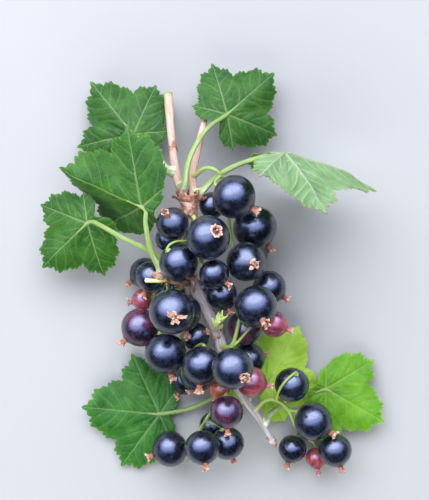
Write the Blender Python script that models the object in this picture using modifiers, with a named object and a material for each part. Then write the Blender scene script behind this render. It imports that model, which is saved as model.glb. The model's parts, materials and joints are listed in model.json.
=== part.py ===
"""Blackcurrant sprig, laid down as picked: a woody twig, its fruit on green strigs, and its leaves.

+X is to the right, +Y is towards the cut end of the twig, and +Z is up from the surface it lies on.
The origin is on that surface, in the middle of the flat spot under a low berry.
Sizes are millimetres in all the named values below, and become metres when a mesh is made.
"""

import math
from dataclasses import dataclass

import bmesh
import bpy
import numpy as np
from mathutils import Matrix, Vector

MM = 0.001

# Room that neighbouring pieces keep between them.
GAP = 0.3

# Berries: sides round the axis, rings from stalk to flower, and length over diameter.
BERRY_SIDES = 10
BERRY_RINGS = 7
BERRY_LENGTH_RATIO = 0.97
FLAT_SPOT_DEPTH = 0.35

# The dried flower at the end of a berry: a short tube that opens into five lobes.
FLOWER_LOBES = 5
FLOWER_TUBE_RADIUS = 1.0
FLOWER_TUBE_LENGTH = 0.7
FLOWER_LOBE_REACH = 2.0
FLOWER_NOTCH_REACH = 1.1
FLOWER_LENGTH = 2.0
FLOWER_BEAD_RADIUS = 1.8
STALK_BEAD_RADIUS = 0.7

# How a stalk's path is bent clear of what it would run through: steps, how many of the last only
# push, how much of a bend is kept in a step, and the spacing of the beads that stand for a tube.
THREAD_STEPS = 400
THREAD_LAST_STEPS = 40
THREAD_KEEP = 0.98
BEAD_STEP = 0.7

# How the berries settle: steps, how far one sinks in a step and in all, how strongly it is drawn
# back over its own place, and how much of a push moves it sideways.
SETTLE_STEPS = 800
SINK_STEP = 0.03
SINK_LIMIT = 5.0
PULL_BACK = 0.1
SIDEWAYS_SHARE = 0.35

# Strigs: radius of the main stalk where it leaves the wood and at its tip, and of each berry's stalk.
RACHIS_BASE_RADIUS = 0.7
RACHIS_TIP_RADIUS = 0.45
PEDICEL_RADIUS = 0.42
PEDICEL_STEP = 3.0
RACHIS_STEP = 3.2

# Wood.
WOOD_STEP = 4.6
KNOT_MIDDLE = (-6.0, 28.0, 19.2)
KNOT_SIZE = (2.9, 3.3, 2.6)
BUD_LENGTH = 3.8
BUD_RADIUS = 1.4

# Leaves: rays round the stalk's end, rings from there to the edge, and the teeth along the edge.
LEAF_RAYS = 48
LEAF_RINGS = (0.55, 1.0)
LEAF_THICKNESS = 0.7
TOOTH_OUT = 0.03
TOOTH_IN = 0.05
SIDE_LOBE_TURN = 60.0
SIDE_LOBE_LENGTH = 0.84
BASE_LOBE_TURN = 120.0
LOBE_HALF_WIDTH = 36.0
LOBE_FALL = 0.31
LOBE_POWER = 1.35
BASE_NOTCH_WIDTH = 38.0
BASE_NOTCH_REACH = 0.16
PETIOLE_BASE_RADIUS = 0.95
PETIOLE_TIP_RADIUS = 0.6
PETIOLE_STEP = 5.0
PETIOLE_INTO_BLADE = 1.5

COLOURS = {
    "ripe": ((0.012, 0.012, 0.022), 0.32),
    "purple": ((0.070, 0.012, 0.028), 0.34),
    "red": ((0.300, 0.022, 0.030), 0.34),
    "orange": ((0.420, 0.080, 0.020), 0.36),
    "wood": ((0.360, 0.230, 0.150), 0.75),
    "strig": ((0.450, 0.600, 0.180), 0.50),
    "leaf": ((0.140, 0.320, 0.060), 0.55),
    "bud": ((0.480, 0.620, 0.240), 0.50),
}


@dataclass
class Berry:
    """A currant: its strig, its middle, its diameter, the way its dried flower faces, its ripeness."""

    name: str
    strig: str
    middle: tuple
    diameter: float
    faces: tuple
    ripeness: str = "ripe"
    rests: bool = False


BERRIES = [
    Berry("upper_front", "top_right", (8.0, 30.4, 31.0), 13.8, (0.84, -0.53, 0.12)),
    Berry("upper_right", "top_right", (14.8, 21.1, 22.5), 14.2, (0.58, -0.80, -0.10)),
    Berry("upper_back", "top_right", (1.3, 28.2, 23.0), 8.6, (-0.50, 0.30, -0.80)),
    Berry("centre_right", "top_right", (11.8, 10.4, 30.0), 12.5, (0.30, -0.08, 0.95)),
    Berry("right_edge", "top_right", (19.3, 2.1, 21.0), 11.0, (0.84, -0.54, 0.05)),
    Berry("under_right", "top_right", (14.4, 12.2, 5.0), 9.9, (0.50, 0.20, -0.20), rests=True),
    Berry("upper_left", "centre", (-11.0, 22.2, 30.0), 10.4, (-0.26, 0.45, 0.85)),
    Berry("upper_middle", "centre", (0.0, 17.8, 32.0), 13.8, (0.34, 0.25, 0.91)),
    Berry("middle_small", "centre", (1.7, 6.7, 32.0), 9.4, (0.78, -0.56, 0.28)),
    Berry("middle_deep", "centre", (4.2, 0.0, 24.0), 10.2, (0.42, -0.88, 0.20)),
    Berry("left_deep", "centre", (-12.6, 17.6, 19.0), 8.6, (-0.55, -0.35, -0.75)),
    Berry("middle_left", "centre", (-9.0, 10.1, 27.5), 12.4, (0.55, -0.65, -0.50)),
    Berry("left_back", "left", (-20.3, 6.2, 5.6), 10.4, (-0.80, -0.50, 0.10)),
    Berry("left_front", "left", (-17.9, 5.6, 16.0), 10.2, (-0.40, -0.90, -0.20)),
    Berry("left_red", "left", (-21.0, -1.9, 12.5), 7.0, (-0.90, -0.20, -0.30), "red"),
    Berry("left_purple", "left", (-21.6, -10.6, 18.0), 12.5, (-0.75, -0.63, 0.15), "purple"),
    Berry("big_star", "left", (-11.0, -4.8, 30.0), 14.1, (0.16, -0.17, 0.97)),
    Berry("under_left", "left", (-12.5, 0.0, 5.0), 10.2, (-0.50, 0.10, -0.20), rests=True),
    Berry("beside_stem", "left", (-8.0, -5.6, 18.0), 12.2, (0.17, -0.95, 0.20)),
    Berry("lower_left", "lower_left", (-13.4, -18.4, 22.0), 13.4, (0.28, -0.95, 0.10)),
    Berry("lower_middle", "lower_left", (-1.9, -21.6, 25.0), 12.6, (-0.10, -0.97, 0.20)),
    Berry("lower_deep", "lower_left", (-3.4, -25.3, 15.0), 11.8, (-0.30, -0.80, -0.50)),
    Berry("lower_back", "lower_left", (-7.2, -28.4, 6.0), 9.3, (-0.48, -0.85, 0.00)),
    Berry("beside_strig", "lower_left", (-3.2, -13.1, 17.0), 9.0, (0.60, 0.30, 0.60)),
    Berry("right_front", "right", (14.8, -3.4, 31.0), 13.4, (0.30, -0.60, 0.74)),
    Berry("right_red", "right", (20.7, -9.2, 23.0), 8.5, (0.92, -0.37, 0.10), "red"),
    Berry("right_purple", "right", (11.7, -10.7, 21.5), 11.2, (0.20, -0.50, -0.85), "purple"),
    Berry("lower_front", "right", (7.4, -21.8, 33.0), 12.9, (0.46, -0.31, 0.83)),
    Berry("lower_right", "right", (12.6, -20.8, 17.0), 10.6, (0.80, 0.10, -0.60)),
    Berry("low_red", "right", (13.6, -27.3, 25.0), 9.7, (0.97, -0.21, 0.10), "red"),
    Berry("low_orange", "right", (3.7, -29.3, 19.0), 7.0, (-0.30, -0.80, -0.50), "orange"),
    Berry("under_middle", "lower_left", (0.0, 0.0, 5.0), 10.9, (0.30, 0.40, -0.20), rests=True),
    Berry("hanging_purple", "tip", (5.8, -36.0, 22.0), 10.6, (0.05, -0.99, 0.10), "purple"),
    Berry("bottom_front", "tip", (-1.8, -47.9, 19.0), 11.2, (0.17, -0.85, 0.50)),
    Berry("bottom_right", "tip", (6.1, -47.7, 11.0), 10.9, (0.30, -0.90, -0.30)),
    Berry("bottom_left", "tip", (-12.3, -49.9, 14.0), 11.8, (-0.93, -0.35, 0.10)),
    Berry("under_bottom", "tip", (1.5, -43.0, 5.0), 9.0, (-0.40, -0.30, -0.20), rests=True),
    Berry("corner_first", "corner", (26.6, -28.8, 19.0), 11.2, (-0.20, -0.70, -0.65)),
    Berry("corner_second", "corner", (33.4, -40.6, 18.0), 12.5, (0.85, -0.50, 0.15)),
    Berry("corner_third", "corner", (40.6, -50.2, 13.0), 10.9, (0.30, -0.90, 0.10)),
    Berry("corner_low", "corner", (27.5, -50.6, 5.0), 9.3, (-0.30, -0.90, 0.10), rests=True),
    Berry("corner_red", "corner", (34.9, -53.4, 8.0), 7.0, (0.10, -0.95, 0.20), "red"),
]

# Each piece of the wood: points along its middle, and its radius at the first, middle and last.
WOOD = {
    "main": (
        [
            (-4.8, 26.9, 19.0),
            (-5.8, 21.8, 18.0),
            (-6.1, 12.8, 17.0),
            (-4.8, 3.8, 16.0),
            (-1.0, -3.8, 15.0),
            (2.6, -11.5, 14.5),
            (6.4, -23.0, 14.0),
            (11.2, -33.0, 13.0),
            (16.3, -40.0, 10.0),
            (20.2, -46.7, 6.0),
        ],
        (1.7, 2.1, 0.8),
    ),
    "left_shoot": (
        [
            (-4.8, 26.9, 19.0),
            (-7.4, 30.0, 19.6),
            (-9.4, 35.0, 19.6),
            (-10.6, 41.0, 18.4),
            (-11.4, 48.0, 15.6),
            (-12.2, 56.0, 11.4),
            (-13.0, 64.0, 6.6),
        ],
        (1.5, 1.3, 1.4),
    ),
    "right_shoot": (
        [
            (-4.8, 26.9, 19.0),
            (-4.7, 31.0, 18.8),
            (-4.9, 37.0, 18.0),
            (-3.9, 43.2, 17.0),
            (-2.4, 50.0, 15.0),
            (-1.0, 56.0, 12.6),
        ],
        (1.5, 1.2, 1.0),
    ),
    "spur": (
        [
            (-4.8, 3.2, 16.0),
            (-8.6, 3.8, 19.0),
            (-11.8, 4.6, 21.2),
            (-14.4, 5.6, 23.0),
        ],
        (1.2, 1.0, 1.0),
    ),
}

# Each strig's main stalk, from the wood to its tip.
STRIGS = {
    "top_right": [
        (-4.4, 37.6, 18.0),
        (-1.6, 39.6, 22.5),
        (2.6, 38.6, 26.0),
        (4.6, 34.0, 22.0),
        (5.0, 28.0, 17.0),
        (6.4, 20.0, 14.5),
        (8.4, 13.0, 13.5),
        (12.0, 6.0, 12.5),
    ],
    "centre": [
        (-5.4, 25.0, 18.4),
        (-4.0, 22.5, 22.0),
        (-3.4, 16.0, 23.5),
        (-2.0, 10.0, 23.0),
        (1.0, 5.0, 21.0),
    ],
    "left": [
        (-7.8, 3.7, 18.4),
        (-12.6, 0.6, 20.2),
        (-15.0, -3.0, 19.5),
        (-16.0, -6.4, 18.0),
    ],
    "lower_left": [
        (-4.0, 1.6, 15.8),
        (-4.8, -3.2, 10.0),
        (-6.6, -10.2, 10.0),
        (-8.2, -15.6, 13.0),
        (-7.0, -20.4, 16.0),
    ],
    "right": [
        (4.2, -16.4, 14.4),
        (5.6, -16.6, 20.0),
        (7.6, -16.6, 23.0),
        (9.4, -18.6, 23.5),
        (10.0, -22.4, 22.0),
    ],
    "tip": [
        (11.6, -33.6, 12.6),
        (6.4, -35.6, 13.0),
        (0.3, -37.5, 14.0),
        (-1.0, -41.0, 14.5),
    ],
    "corner": [
        (14.4, -37.1, 11.4),
        (18.2, -33.0, 13.5),
        (23.7, -32.6, 14.0),
        (28.4, -37.2, 12.0),
        (32.0, -45.0, 10.0),
    ],
}


@dataclass
class Leaf:
    """A leaf: where its blade starts, the ways it runs and looks up, its reach, form and stalk.

    fold is how far each half leans down from the midrib, in degrees, and droop is how far the tip
    hangs below the start of the blade, as a share of the reach. base_lobes is the length of the two
    lobes beside the stalk, as a share of the reach.
    """

    name: str
    start: tuple
    runs: tuple
    looks: tuple
    reach: float
    fold: float
    droop: float
    wave: float
    petiole: list
    base_lobes: float = 0.62


LEAVES = [
    Leaf(
        "upper_left", (-20.6, 27.3, 25.6), (-0.92, 0.36, -0.10), (-0.15, -0.60, 0.78), 28.0, 20.0, 0.16, 0.05,
        [(-14.2, 5.5, 22.9), (-17.2, 10.6, 22.6), (-18.8, 18.8, 26.0)],
        base_lobes=0.30,
    ),
    Leaf(
        "left", (-38.0, 22.5, 19.0), (-0.72, -0.66, -0.20), (-0.20, -0.10, 0.97), 21.0, 14.0, 0.20, 0.05,
        [(-11.2, 4.4, 20.8), (-13.0, 9.4, 19.4), (-18.0, 13.4, 21.2), (-27.8, 18.0, 23.5), (-33.6, 22.0, 22.0)],
        base_lobes=0.46,
    ),
    Leaf(
        "upper_right", (23.7, 43.5, 25.5), (0.95, -0.16, -0.10), (0.10, -0.97, -0.20), 29.0, -25.0, -0.14, 0.05,
        [(-4.9, 31.4, 18.8), (0.0, 34.9, 20.5), (6.0, 39.2, 22.6), (14.0, 42.2, 24.0)],
        base_lobes=0.52,
    ),
    Leaf(
        "behind_right", (18.3, -30.4, 6.0), (0.50, 0.86, 0.06), (0.10, -0.10, 0.99), 22.0, 7.0, 0.10, 0.03,
        [(11.8, -33.8, 12.6), (14.0, -33.4, 8.6)],
    ),
    Leaf(
        "lower_right", (38.1, -30.9, 5.8), (0.86, -0.50, 0.00), (0.00, 0.06, 1.00), 21.0, 6.0, 0.02, 0.04,
        [(17.4, -41.6, 9.0), (21.0, -38.0, 5.6), (27.0, -34.4, 5.0), (32.0, -32.4, 5.4)],
        base_lobes=0.33,
    ),
    Leaf(
        "lower_left", (-16.0, -39.5, 3.2), (-0.99, 0.10, 0.06), (0.04, 0.02, 1.0), 24.5, 6.0, 0.02, 0.03,
        [(8.2, -27.0, 13.6), (3.4, -33.0, 5.0), (-6.0, -38.0, 3.0)],
        base_lobes=0.36,
    ),
    Leaf(
        "top_left", (-24.0, 51.0, 11.0), (-0.62, 0.77, -0.14), (-0.06, 0.12, 0.99), 22.0, 12.0, 0.18, 0.05,
        [(-10.2, 38.6, 19.0), (-14.0, 41.4, 19.5), (-18.6, 46.4, 15.5)],
        base_lobes=0.52,
    ),
    Leaf(
        "top_right", (6.0, 57.0, 15.0), (0.72, 0.66, -0.20), (0.14, 0.12, 0.98), 21.0, 12.0, 0.18, 0.05,
        [(-8.6, 33.6, 19.6), (-7.0, 39.0, 24.0), (-4.4, 46.0, 22.0), (0.6, 53.6, 18.6)],
        base_lobes=0.52,
    ),
]

# The young green shoot in the middle of the sprig: its foot on the wood and its pointed tip.
SHOOT_BUD_FOOT = (2.2, -10.8, 17.1)
SHOOT_BUD_TIP = (4.2, -5.8, 24.0)
SHOOT_BUD_RADIUS = 1.5


def unit(vector):
    """A numpy copy of the vector with length 1."""
    array = np.array(vector, dtype=float)
    return array / np.linalg.norm(array)


def smooth_path(points, step):
    """Points about a step apart on the Catmull-Rom curve through the given ones."""
    knots = [np.array(point, dtype=float) for point in points]
    knots = [2.0 * knots[0] - knots[1]] + knots + [2.0 * knots[-1] - knots[-2]]
    path = [knots[1]]
    for index in range(1, len(knots) - 2):
        before, start, end, after = knots[index - 1:index + 3]
        pieces = max(1, round(np.linalg.norm(end - start) / step))
        for piece in range(1, pieces + 1):
            t = piece / pieces
            path.append(
                0.5 * (
                    2.0 * start
                    + (end - before) * t
                    + (2.0 * before - 5.0 * start + 4.0 * end - after) * t ** 2
                    + (3.0 * start - before - 3.0 * end + after) * t ** 3
                )
            )
    return np.array(path)


def radii_along(count, radii):
    """Radius at each of count points, smoothly through the ones given at equal shares of the way."""
    return np.interp(np.linspace(0.0, 1.0, count), np.linspace(0.0, 1.0, len(radii)), radii)


def beads_along(path, radii):
    """The path as spheres close enough together to stand for the tube: their middles and radii."""
    middles = [path[0]]
    sizes = [radii[0]]
    for start, end, first, last in zip(path[:-1], path[1:], radii[:-1], radii[1:]):
        pieces = max(1, math.ceil(np.linalg.norm(end - start) / BEAD_STEP))
        for piece in range(1, pieces + 1):
            share = piece / pieces
            middles.append(start + (end - start) * share)
            sizes.append(first + (last - first) * share)
    return np.array(middles), np.array(sizes)


def berry_beads(middles, radii, faces):
    """Each berry as three spheres: its body, its dried flower and the start of its stalk."""
    flower = middles + faces * (radii * BERRY_LENGTH_RATIO + FLOWER_LENGTH - FLOWER_BEAD_RADIUS)[:, None]
    stalk = middles - faces * (radii * BERRY_LENGTH_RATIO + STALK_BEAD_RADIUS)[:, None]
    places = np.concatenate([middles, flower, stalk])
    sizes = np.concatenate([
        radii,
        np.full(len(radii), FLOWER_BEAD_RADIUS),
        np.full(len(radii), STALK_BEAD_RADIUS),
    ])
    return places, sizes


def settle(berries, wood_places, wood_sizes):
    """Lets the berries sink onto one another and the wood, keeping each nearly over its own place."""
    slide = np.array([SIDEWAYS_SHARE, SIDEWAYS_SHARE, 1.0])
    count = len(berries)
    wanted = np.array([berry.middle for berry in berries], dtype=float)
    middles = wanted.copy()
    radii = np.array([berry.diameter / 2.0 for berry in berries])
    faces = np.array([unit(berry.faces) for berry in berries])
    owner = np.tile(np.arange(count), 3)
    rests = np.array([berry.rests for berry in berries])
    strangers = owner[:, None] != owner[None, :]
    for step in range(SETTLE_STEPS):
        if step < SETTLE_STEPS // 2:
            middles[:, 2] = np.maximum(middles[:, 2] - SINK_STEP, wanted[:, 2] - SINK_LIMIT)
        middles[:, :2] += PULL_BACK * (wanted[:, :2] - middles[:, :2])
        places, sizes = berry_beads(middles, radii, faces)
        moves = np.zeros_like(middles)
        for others, other_sizes, mask, share in (
            (places, sizes, strangers, 0.5),
            (wood_places, wood_sizes, None, 1.0),
        ):
            apart = places[:, None, :] - others[None, :, :]
            distance = np.linalg.norm(apart, axis=2) + 1e-6
            lack = sizes[:, None] + other_sizes[None, :] + GAP + 0.05 - distance
            lack = np.maximum(lack, 0.0)
            if mask is not None:
                lack = np.where(mask, lack, 0.0)
            push = (apart / distance[:, :, None] * lack[:, :, None]).sum(axis=1) * share
            np.add.at(moves, owner, push)
        middles += 0.5 * moves * slide
        floor = radii.copy()
        floor[rests] -= FLAT_SPOT_DEPTH
        middles[:, 2] = np.where(rests, floor, np.maximum(middles[:, 2], floor + GAP))
    return middles, radii, faces


def thread(path, radius, places, sizes, held_start, held_end):
    """Bends a stalk's path clear of the spheres, keeping its ends and as much of its shape as it can."""
    free = np.zeros(len(path), dtype=bool)
    free[held_start:len(path) - held_end] = True
    offset = np.zeros_like(path)
    for step in range(THREAD_STEPS):
        if step < THREAD_STEPS - THREAD_LAST_STEPS:
            even = offset.copy()
            even[1:-1] = 0.5 * offset[1:-1] + 0.25 * (offset[:-2] + offset[2:])
            offset[free] = THREAD_KEEP * even[free]
        bent = path + offset
        apart = bent[:, None, :] - places[None, :, :]
        distance = np.linalg.norm(apart, axis=2) + 1e-6
        lack = np.maximum(sizes[None, :] + radius + GAP + 0.1 - distance, 0.0)
        push = (apart / distance[:, :, None] * lack[:, :, None]).sum(axis=1)
        offset[free] += 0.5 * push[free]
        bent = path + offset
        offset[:, 2] += np.maximum(radius + GAP - bent[:, 2], 0.0)
    return path + offset


def material(name):
    """The plain surface of one kind of piece."""
    colour, roughness = COLOURS[name]
    made = bpy.data.materials.get(name)
    if made is None:
        made = bpy.data.materials.new(name)
        made.use_nodes = True
        shader = made.node_tree.nodes["Principled BSDF"]
        shader.inputs["Base Color"].default_value = (*colour, 1.0)
        shader.inputs["Roughness"].default_value = roughness
        shader.inputs["Metallic"].default_value = 0.0
    return made


def add_object(name, mesh, kind, collection):
    """Links a mesh to the collection as an object of its own, with its surface, shaded smooth."""
    thing = bpy.data.objects.new(name, mesh)
    collection.objects.link(thing)
    mesh.materials.clear()
    mesh.materials.append(material(kind))
    mesh.shade_smooth()
    mesh.set_sharp_from_angle(angle=math.radians(50.0))
    return thing


def tube_mesh(name, path, radii, resolution):
    """A closed tube along the path, as a mesh, from a curve with filled caps."""
    curve = bpy.data.curves.new(name, "CURVE")
    curve.dimensions = "3D"
    curve.bevel_depth = MM
    curve.bevel_resolution = resolution
    curve.use_fill_caps = True
    spline = curve.splines.new("POLY")
    spline.points.add(len(path) - 1)
    for point, place, radius in zip(spline.points, path, radii):
        point.co = (*(place * MM), 1.0)
        point.radius = radius
    guide = bpy.data.objects.new(name, curve)
    bpy.context.scene.collection.objects.link(guide)
    graph = bpy.context.evaluated_depsgraph_get()
    mesh = bpy.data.meshes.new_from_object(guide.evaluated_get(graph))
    bm = bmesh.new()
    bm.from_mesh(mesh)
    bmesh.ops.remove_doubles(bm, verts=bm.verts, dist=1e-6)
    bmesh.ops.recalc_face_normals(bm, faces=bm.faces)
    bm.to_mesh(mesh)
    bm.free()
    bpy.data.objects.remove(guide)
    bpy.data.curves.remove(curve)
    return mesh


def ball_mesh(name, middle, size, sides=8, rings=6):
    """A closed ball with its own size along each axis."""
    bm = bmesh.new()
    place = Matrix.Translation(Vector(middle) * MM) @ Matrix.Diagonal((*size, 1.0))
    bmesh.ops.create_uvsphere(bm, u_segments=sides, v_segments=rings, radius=MM, matrix=place)
    mesh = bpy.data.meshes.new(name)
    bm.to_mesh(mesh)
    bm.free()
    return mesh


def fuse(name, meshes, kind, collection):
    """Joins closed meshes that run into each other into one solid."""
    whole = add_object(name, meshes[0], kind, collection)
    if len(meshes) == 1:
        return whole
    cutters = bpy.data.collections.new(name + "_cutters")
    bpy.context.scene.collection.children.link(cutters)
    for index, mesh in enumerate(meshes[1:]):
        cutters.objects.link(bpy.data.objects.new(f"{name}_{index}", mesh))
    joining = whole.modifiers.new("Join", "BOOLEAN")
    joining.operation = "UNION"
    joining.operand_type = "COLLECTION"
    joining.collection = cutters
    joining.solver = "EXACT"
    graph = bpy.context.evaluated_depsgraph_get()
    joined = bpy.data.meshes.new_from_object(whole.evaluated_get(graph))
    whole.modifiers.clear()
    whole.data = joined
    joined.materials.clear()
    joined.materials.append(material(kind))
    for cutter in list(cutters.objects):
        bpy.data.objects.remove(cutter)
    bpy.data.collections.remove(cutters)
    return whole


def berry_mesh(name, middle, radius, faces, rests):
    """A berry from a sphere whose end is drawn out into the five lobes of the dried flower."""
    bm = bmesh.new()
    bmesh.ops.create_uvsphere(bm, u_segments=BERRY_SIDES, v_segments=BERRY_RINGS, radius=radius)
    bmesh.ops.scale(bm, vec=(1.0, 1.0, BERRY_LENGTH_RATIO), verts=bm.verts)
    top = radius * BERRY_LENGTH_RATIO
    pole = max(bm.verts, key=lambda vert: vert.co.z)
    bmesh.ops.delete(bm, geom=[pole], context="VERTS")
    tube_end = top + FLOWER_TUBE_LENGTH
    rings = (
        (FLOWER_TUBE_RADIUS + 0.2, FLOWER_TUBE_RADIUS + 0.2, top - 0.1),
        (FLOWER_TUBE_RADIUS, FLOWER_TUBE_RADIUS, tube_end),
        (FLOWER_LOBE_REACH, FLOWER_NOTCH_REACH, top + FLOWER_LENGTH),
    )
    for lobe_reach, notch_reach, height in rings:
        edge = [edge for edge in bm.edges if edge.is_boundary]
        grown = bmesh.ops.extrude_edge_only(bm, edges=edge)["geom"]
        for vert in (item for item in grown if isinstance(item, bmesh.types.BMVert)):
            turn = math.atan2(vert.co.y, vert.co.x)
            share = 0.5 + 0.5 * math.cos(FLOWER_LOBES * turn)
            reach = notch_reach + (lobe_reach - notch_reach) * share
            vert.co = (reach * math.cos(turn), reach * math.sin(turn), height)
    rim = [edge for edge in bm.edges if edge.is_boundary]
    throat = bmesh.ops.extrude_edge_only(bm, edges=rim)["geom"]
    ends = [item for item in throat if isinstance(item, bmesh.types.BMVert)]
    bmesh.ops.pointmerge(bm, verts=ends, merge_co=(0.0, 0.0, tube_end + 0.4))
    turn = Vector((0.0, 0.0, 1.0)).rotation_difference(Vector(faces)).to_matrix().to_4x4()
    bmesh.ops.transform(bm, matrix=Matrix.Translation(Vector(middle)) @ turn, verts=bm.verts)
    if rests:
        everything = bm.verts[:] + bm.edges[:] + bm.faces[:]
        cut = bmesh.ops.bisect_plane(
            bm, geom=everything, plane_co=(0.0, 0.0, 0.0), plane_no=(0.0, 0.0, -1.0), clear_outer=True
        )
        bmesh.ops.holes_fill(bm, edges=[e for e in cut["geom_cut"] if isinstance(e, bmesh.types.BMEdge)])
    bmesh.ops.recalc_face_normals(bm, faces=bm.faces)
    bmesh.ops.scale(bm, vec=(MM, MM, MM), verts=bm.verts)
    mesh = bpy.data.meshes.new(name)
    bm.to_mesh(mesh)
    bm.free()
    return mesh


def leaf_edge(leaf, turn):
    """Distance from the stalk's end to the leaf's edge at an angle from the midrib, over the reach."""
    reach = 0.0
    lobes = ((0.0, 1.0), (SIDE_LOBE_TURN, SIDE_LOBE_LENGTH), (BASE_LOBE_TURN, leaf.base_lobes))
    for middle, length in lobes:
        off = abs(abs(turn) - middle)
        reach = max(reach, length * (1.0 - LOBE_FALL * (off / LOBE_HALF_WIDTH) ** LOBE_POWER))
    from_notch = 180.0 - abs(turn)
    open_share = min(1.0, from_notch / BASE_NOTCH_WIDTH)
    smooth = open_share * open_share * (3.0 - 2.0 * open_share)
    return BASE_NOTCH_REACH + (reach - BASE_NOTCH_REACH) * smooth


def blade_point(leaf, turn, distance):
    """A point of the blade's middle surface, in mm, at an angle from the midrib and a distance."""
    along = unit(leaf.runs)
    up = np.array(leaf.looks, dtype=float)
    up = unit(up - along * np.dot(up, along))
    side = np.cross(up, along)
    angle = math.radians(turn)
    forward = distance * math.cos(angle)
    across = distance * math.sin(angle)
    lean = math.radians(leaf.fold)
    share = distance / leaf.reach
    lift = -abs(across) * math.sin(lean)
    lift -= leaf.droop * leaf.reach * share ** 2
    lift += leaf.wave * leaf.reach * share ** 2 * math.cos(math.radians(6.0 * turn))
    return (
        np.array(leaf.start)
        + along * forward
        + side * across * math.cos(lean)
        + up * lift
    )


def blade_mesh(leaf):
    """The toothed blade as a closed thin shell."""
    bm = bmesh.new()
    start = bm.verts.new(blade_point(leaf, 0.0, 0.0) * MM)
    rings = []
    for share in LEAF_RINGS:
        ring = []
        for ray in range(LEAF_RAYS):
            turn = -180.0 + 360.0 * ray / LEAF_RAYS
            tooth = 1.0 + (TOOTH_OUT if ray % 2 == 0 else -TOOTH_IN)
            distance = leaf.reach * leaf_edge(leaf, turn) * share
            if share == LEAF_RINGS[-1]:
                distance *= tooth
            ring.append(bm.verts.new(blade_point(leaf, turn, distance) * MM))
        rings.append(ring)
    for ray in range(LEAF_RAYS):
        following = (ray + 1) % LEAF_RAYS
        bm.faces.new((start, rings[0][ray], rings[0][following]))
        for inner, outer in zip(rings[:-1], rings[1:]):
            bm.faces.new((inner[ray], outer[ray], outer[following]))
            bm.faces.new((inner[ray], outer[following], inner[following]))
    blade = bpy.data.meshes.new("leaf_" + leaf.name)
    bm.to_mesh(blade)
    bm.free()
    shell = bpy.data.objects.new("blade", blade)
    bpy.context.scene.collection.objects.link(shell)
    thicken = shell.modifiers.new("Thickness", "SOLIDIFY")
    thicken.thickness = LEAF_THICKNESS * MM
    thicken.offset = 0.0
    graph = bpy.context.evaluated_depsgraph_get()
    solid = bpy.data.meshes.new_from_object(shell.evaluated_get(graph))
    bpy.data.objects.remove(shell)
    return solid


def leaf_node(leaf, places, sizes, collection):
    """One leaf: the blade fused to the end of its stalk. Gives the stalk's path and radii."""
    path = petiole_path(leaf, places, sizes)
    radii = radii_along(len(path), (PETIOLE_BASE_RADIUS, PETIOLE_TIP_RADIUS, PETIOLE_TIP_RADIUS + 0.1))
    stalk = tube_mesh("petiole", path, radii, 1)
    fuse("leaf_" + leaf.name, [blade_mesh(leaf), stalk], "leaf", collection)
    return path, radii


def leave_wood(points, wood_places, wood_sizes, radius):
    """Where a stalk starts: a gap off the wood's surface, square to the wood, towards its next point."""
    foot = np.array(points[0], dtype=float)
    nearest = int(np.argmin(np.linalg.norm(wood_places - foot, axis=1)))
    middle = wood_places[nearest]
    before = wood_places[max(nearest - 1, 0)]
    after = wood_places[min(nearest + 1, len(wood_places) - 1)]
    tangent = unit(after - before)
    outward = np.array(points[1], dtype=float) - middle
    outward = unit(outward - tangent * np.dot(outward, tangent))
    start = middle + outward * (wood_sizes[nearest] + GAP)
    while True:
        off_start = np.linalg.norm(wood_places - start, axis=1) - wood_sizes
        off_next = np.linalg.norm(wood_places - start - outward * radius, axis=1) - wood_sizes
        if off_start.min() >= GAP - 0.01 and off_next.min() >= radius + 0.1:
            return start, outward
        start = start + outward * 0.1


def petiole_path(leaf, places, sizes):
    """The leaf stalk's path, clear of berries and wood, ending just inside the blade."""
    wood_places, wood_sizes = places["wood"], sizes["wood"]
    start, outward = leave_wood(leaf.petiole, wood_places, wood_sizes, PETIOLE_BASE_RADIUS)
    along = unit(leaf.runs)
    end = np.array(leaf.start) + along * PETIOLE_INTO_BLADE
    points = [start, start + outward * 1.5] + leaf.petiole[1:] + [np.array(leaf.start), end]
    path = smooth_path(points, PETIOLE_STEP)
    everything = np.concatenate([places["berries"], places["wood"], places["stalks"]])
    all_sizes = np.concatenate([sizes["berries"], sizes["wood"], sizes["stalks"]])
    return thread(path, PETIOLE_BASE_RADIUS, everything, all_sizes, 2, 2)


def wood_node(collection):
    """The woody twig with its shoots, spur, knot and buds as one solid, and the beads along it."""
    meshes = []
    places = []
    sizes = []
    for name, (points, radii) in WOOD.items():
        path = smooth_path(points, WOOD_STEP)
        thick = radii_along(len(path), radii)
        meshes.append(tube_mesh(name, path, thick, 2))
        middles, beads = beads_along(path, thick)
        places.append(middles)
        sizes.append(beads)
    meshes.append(ball_mesh("knot", KNOT_MIDDLE, KNOT_SIZE))
    places.append(np.array([KNOT_MIDDLE]))
    sizes.append(np.array([max(KNOT_SIZE)]))
    for name in ("right_shoot", "spur", "main"):
        points, radii = WOOD[name]
        tip = np.array(points[-1], dtype=float)
        along = unit(tip - np.array(points[-2]))
        path = np.array([tip - along, tip + along * 0.35 * BUD_LENGTH, tip + along * 0.7 * BUD_LENGTH,
                         tip + along * BUD_LENGTH])
        thick = np.array([radii[-1] * 0.9, BUD_RADIUS, BUD_RADIUS * 0.7, 0.25])
        meshes.append(tube_mesh(name + "_bud", path, thick, 2))
        middles, beads = beads_along(path, thick)
        places.append(middles)
        sizes.append(beads)
    fuse("stem", meshes, "wood", collection)
    return np.concatenate(places), np.concatenate(sizes)


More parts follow.
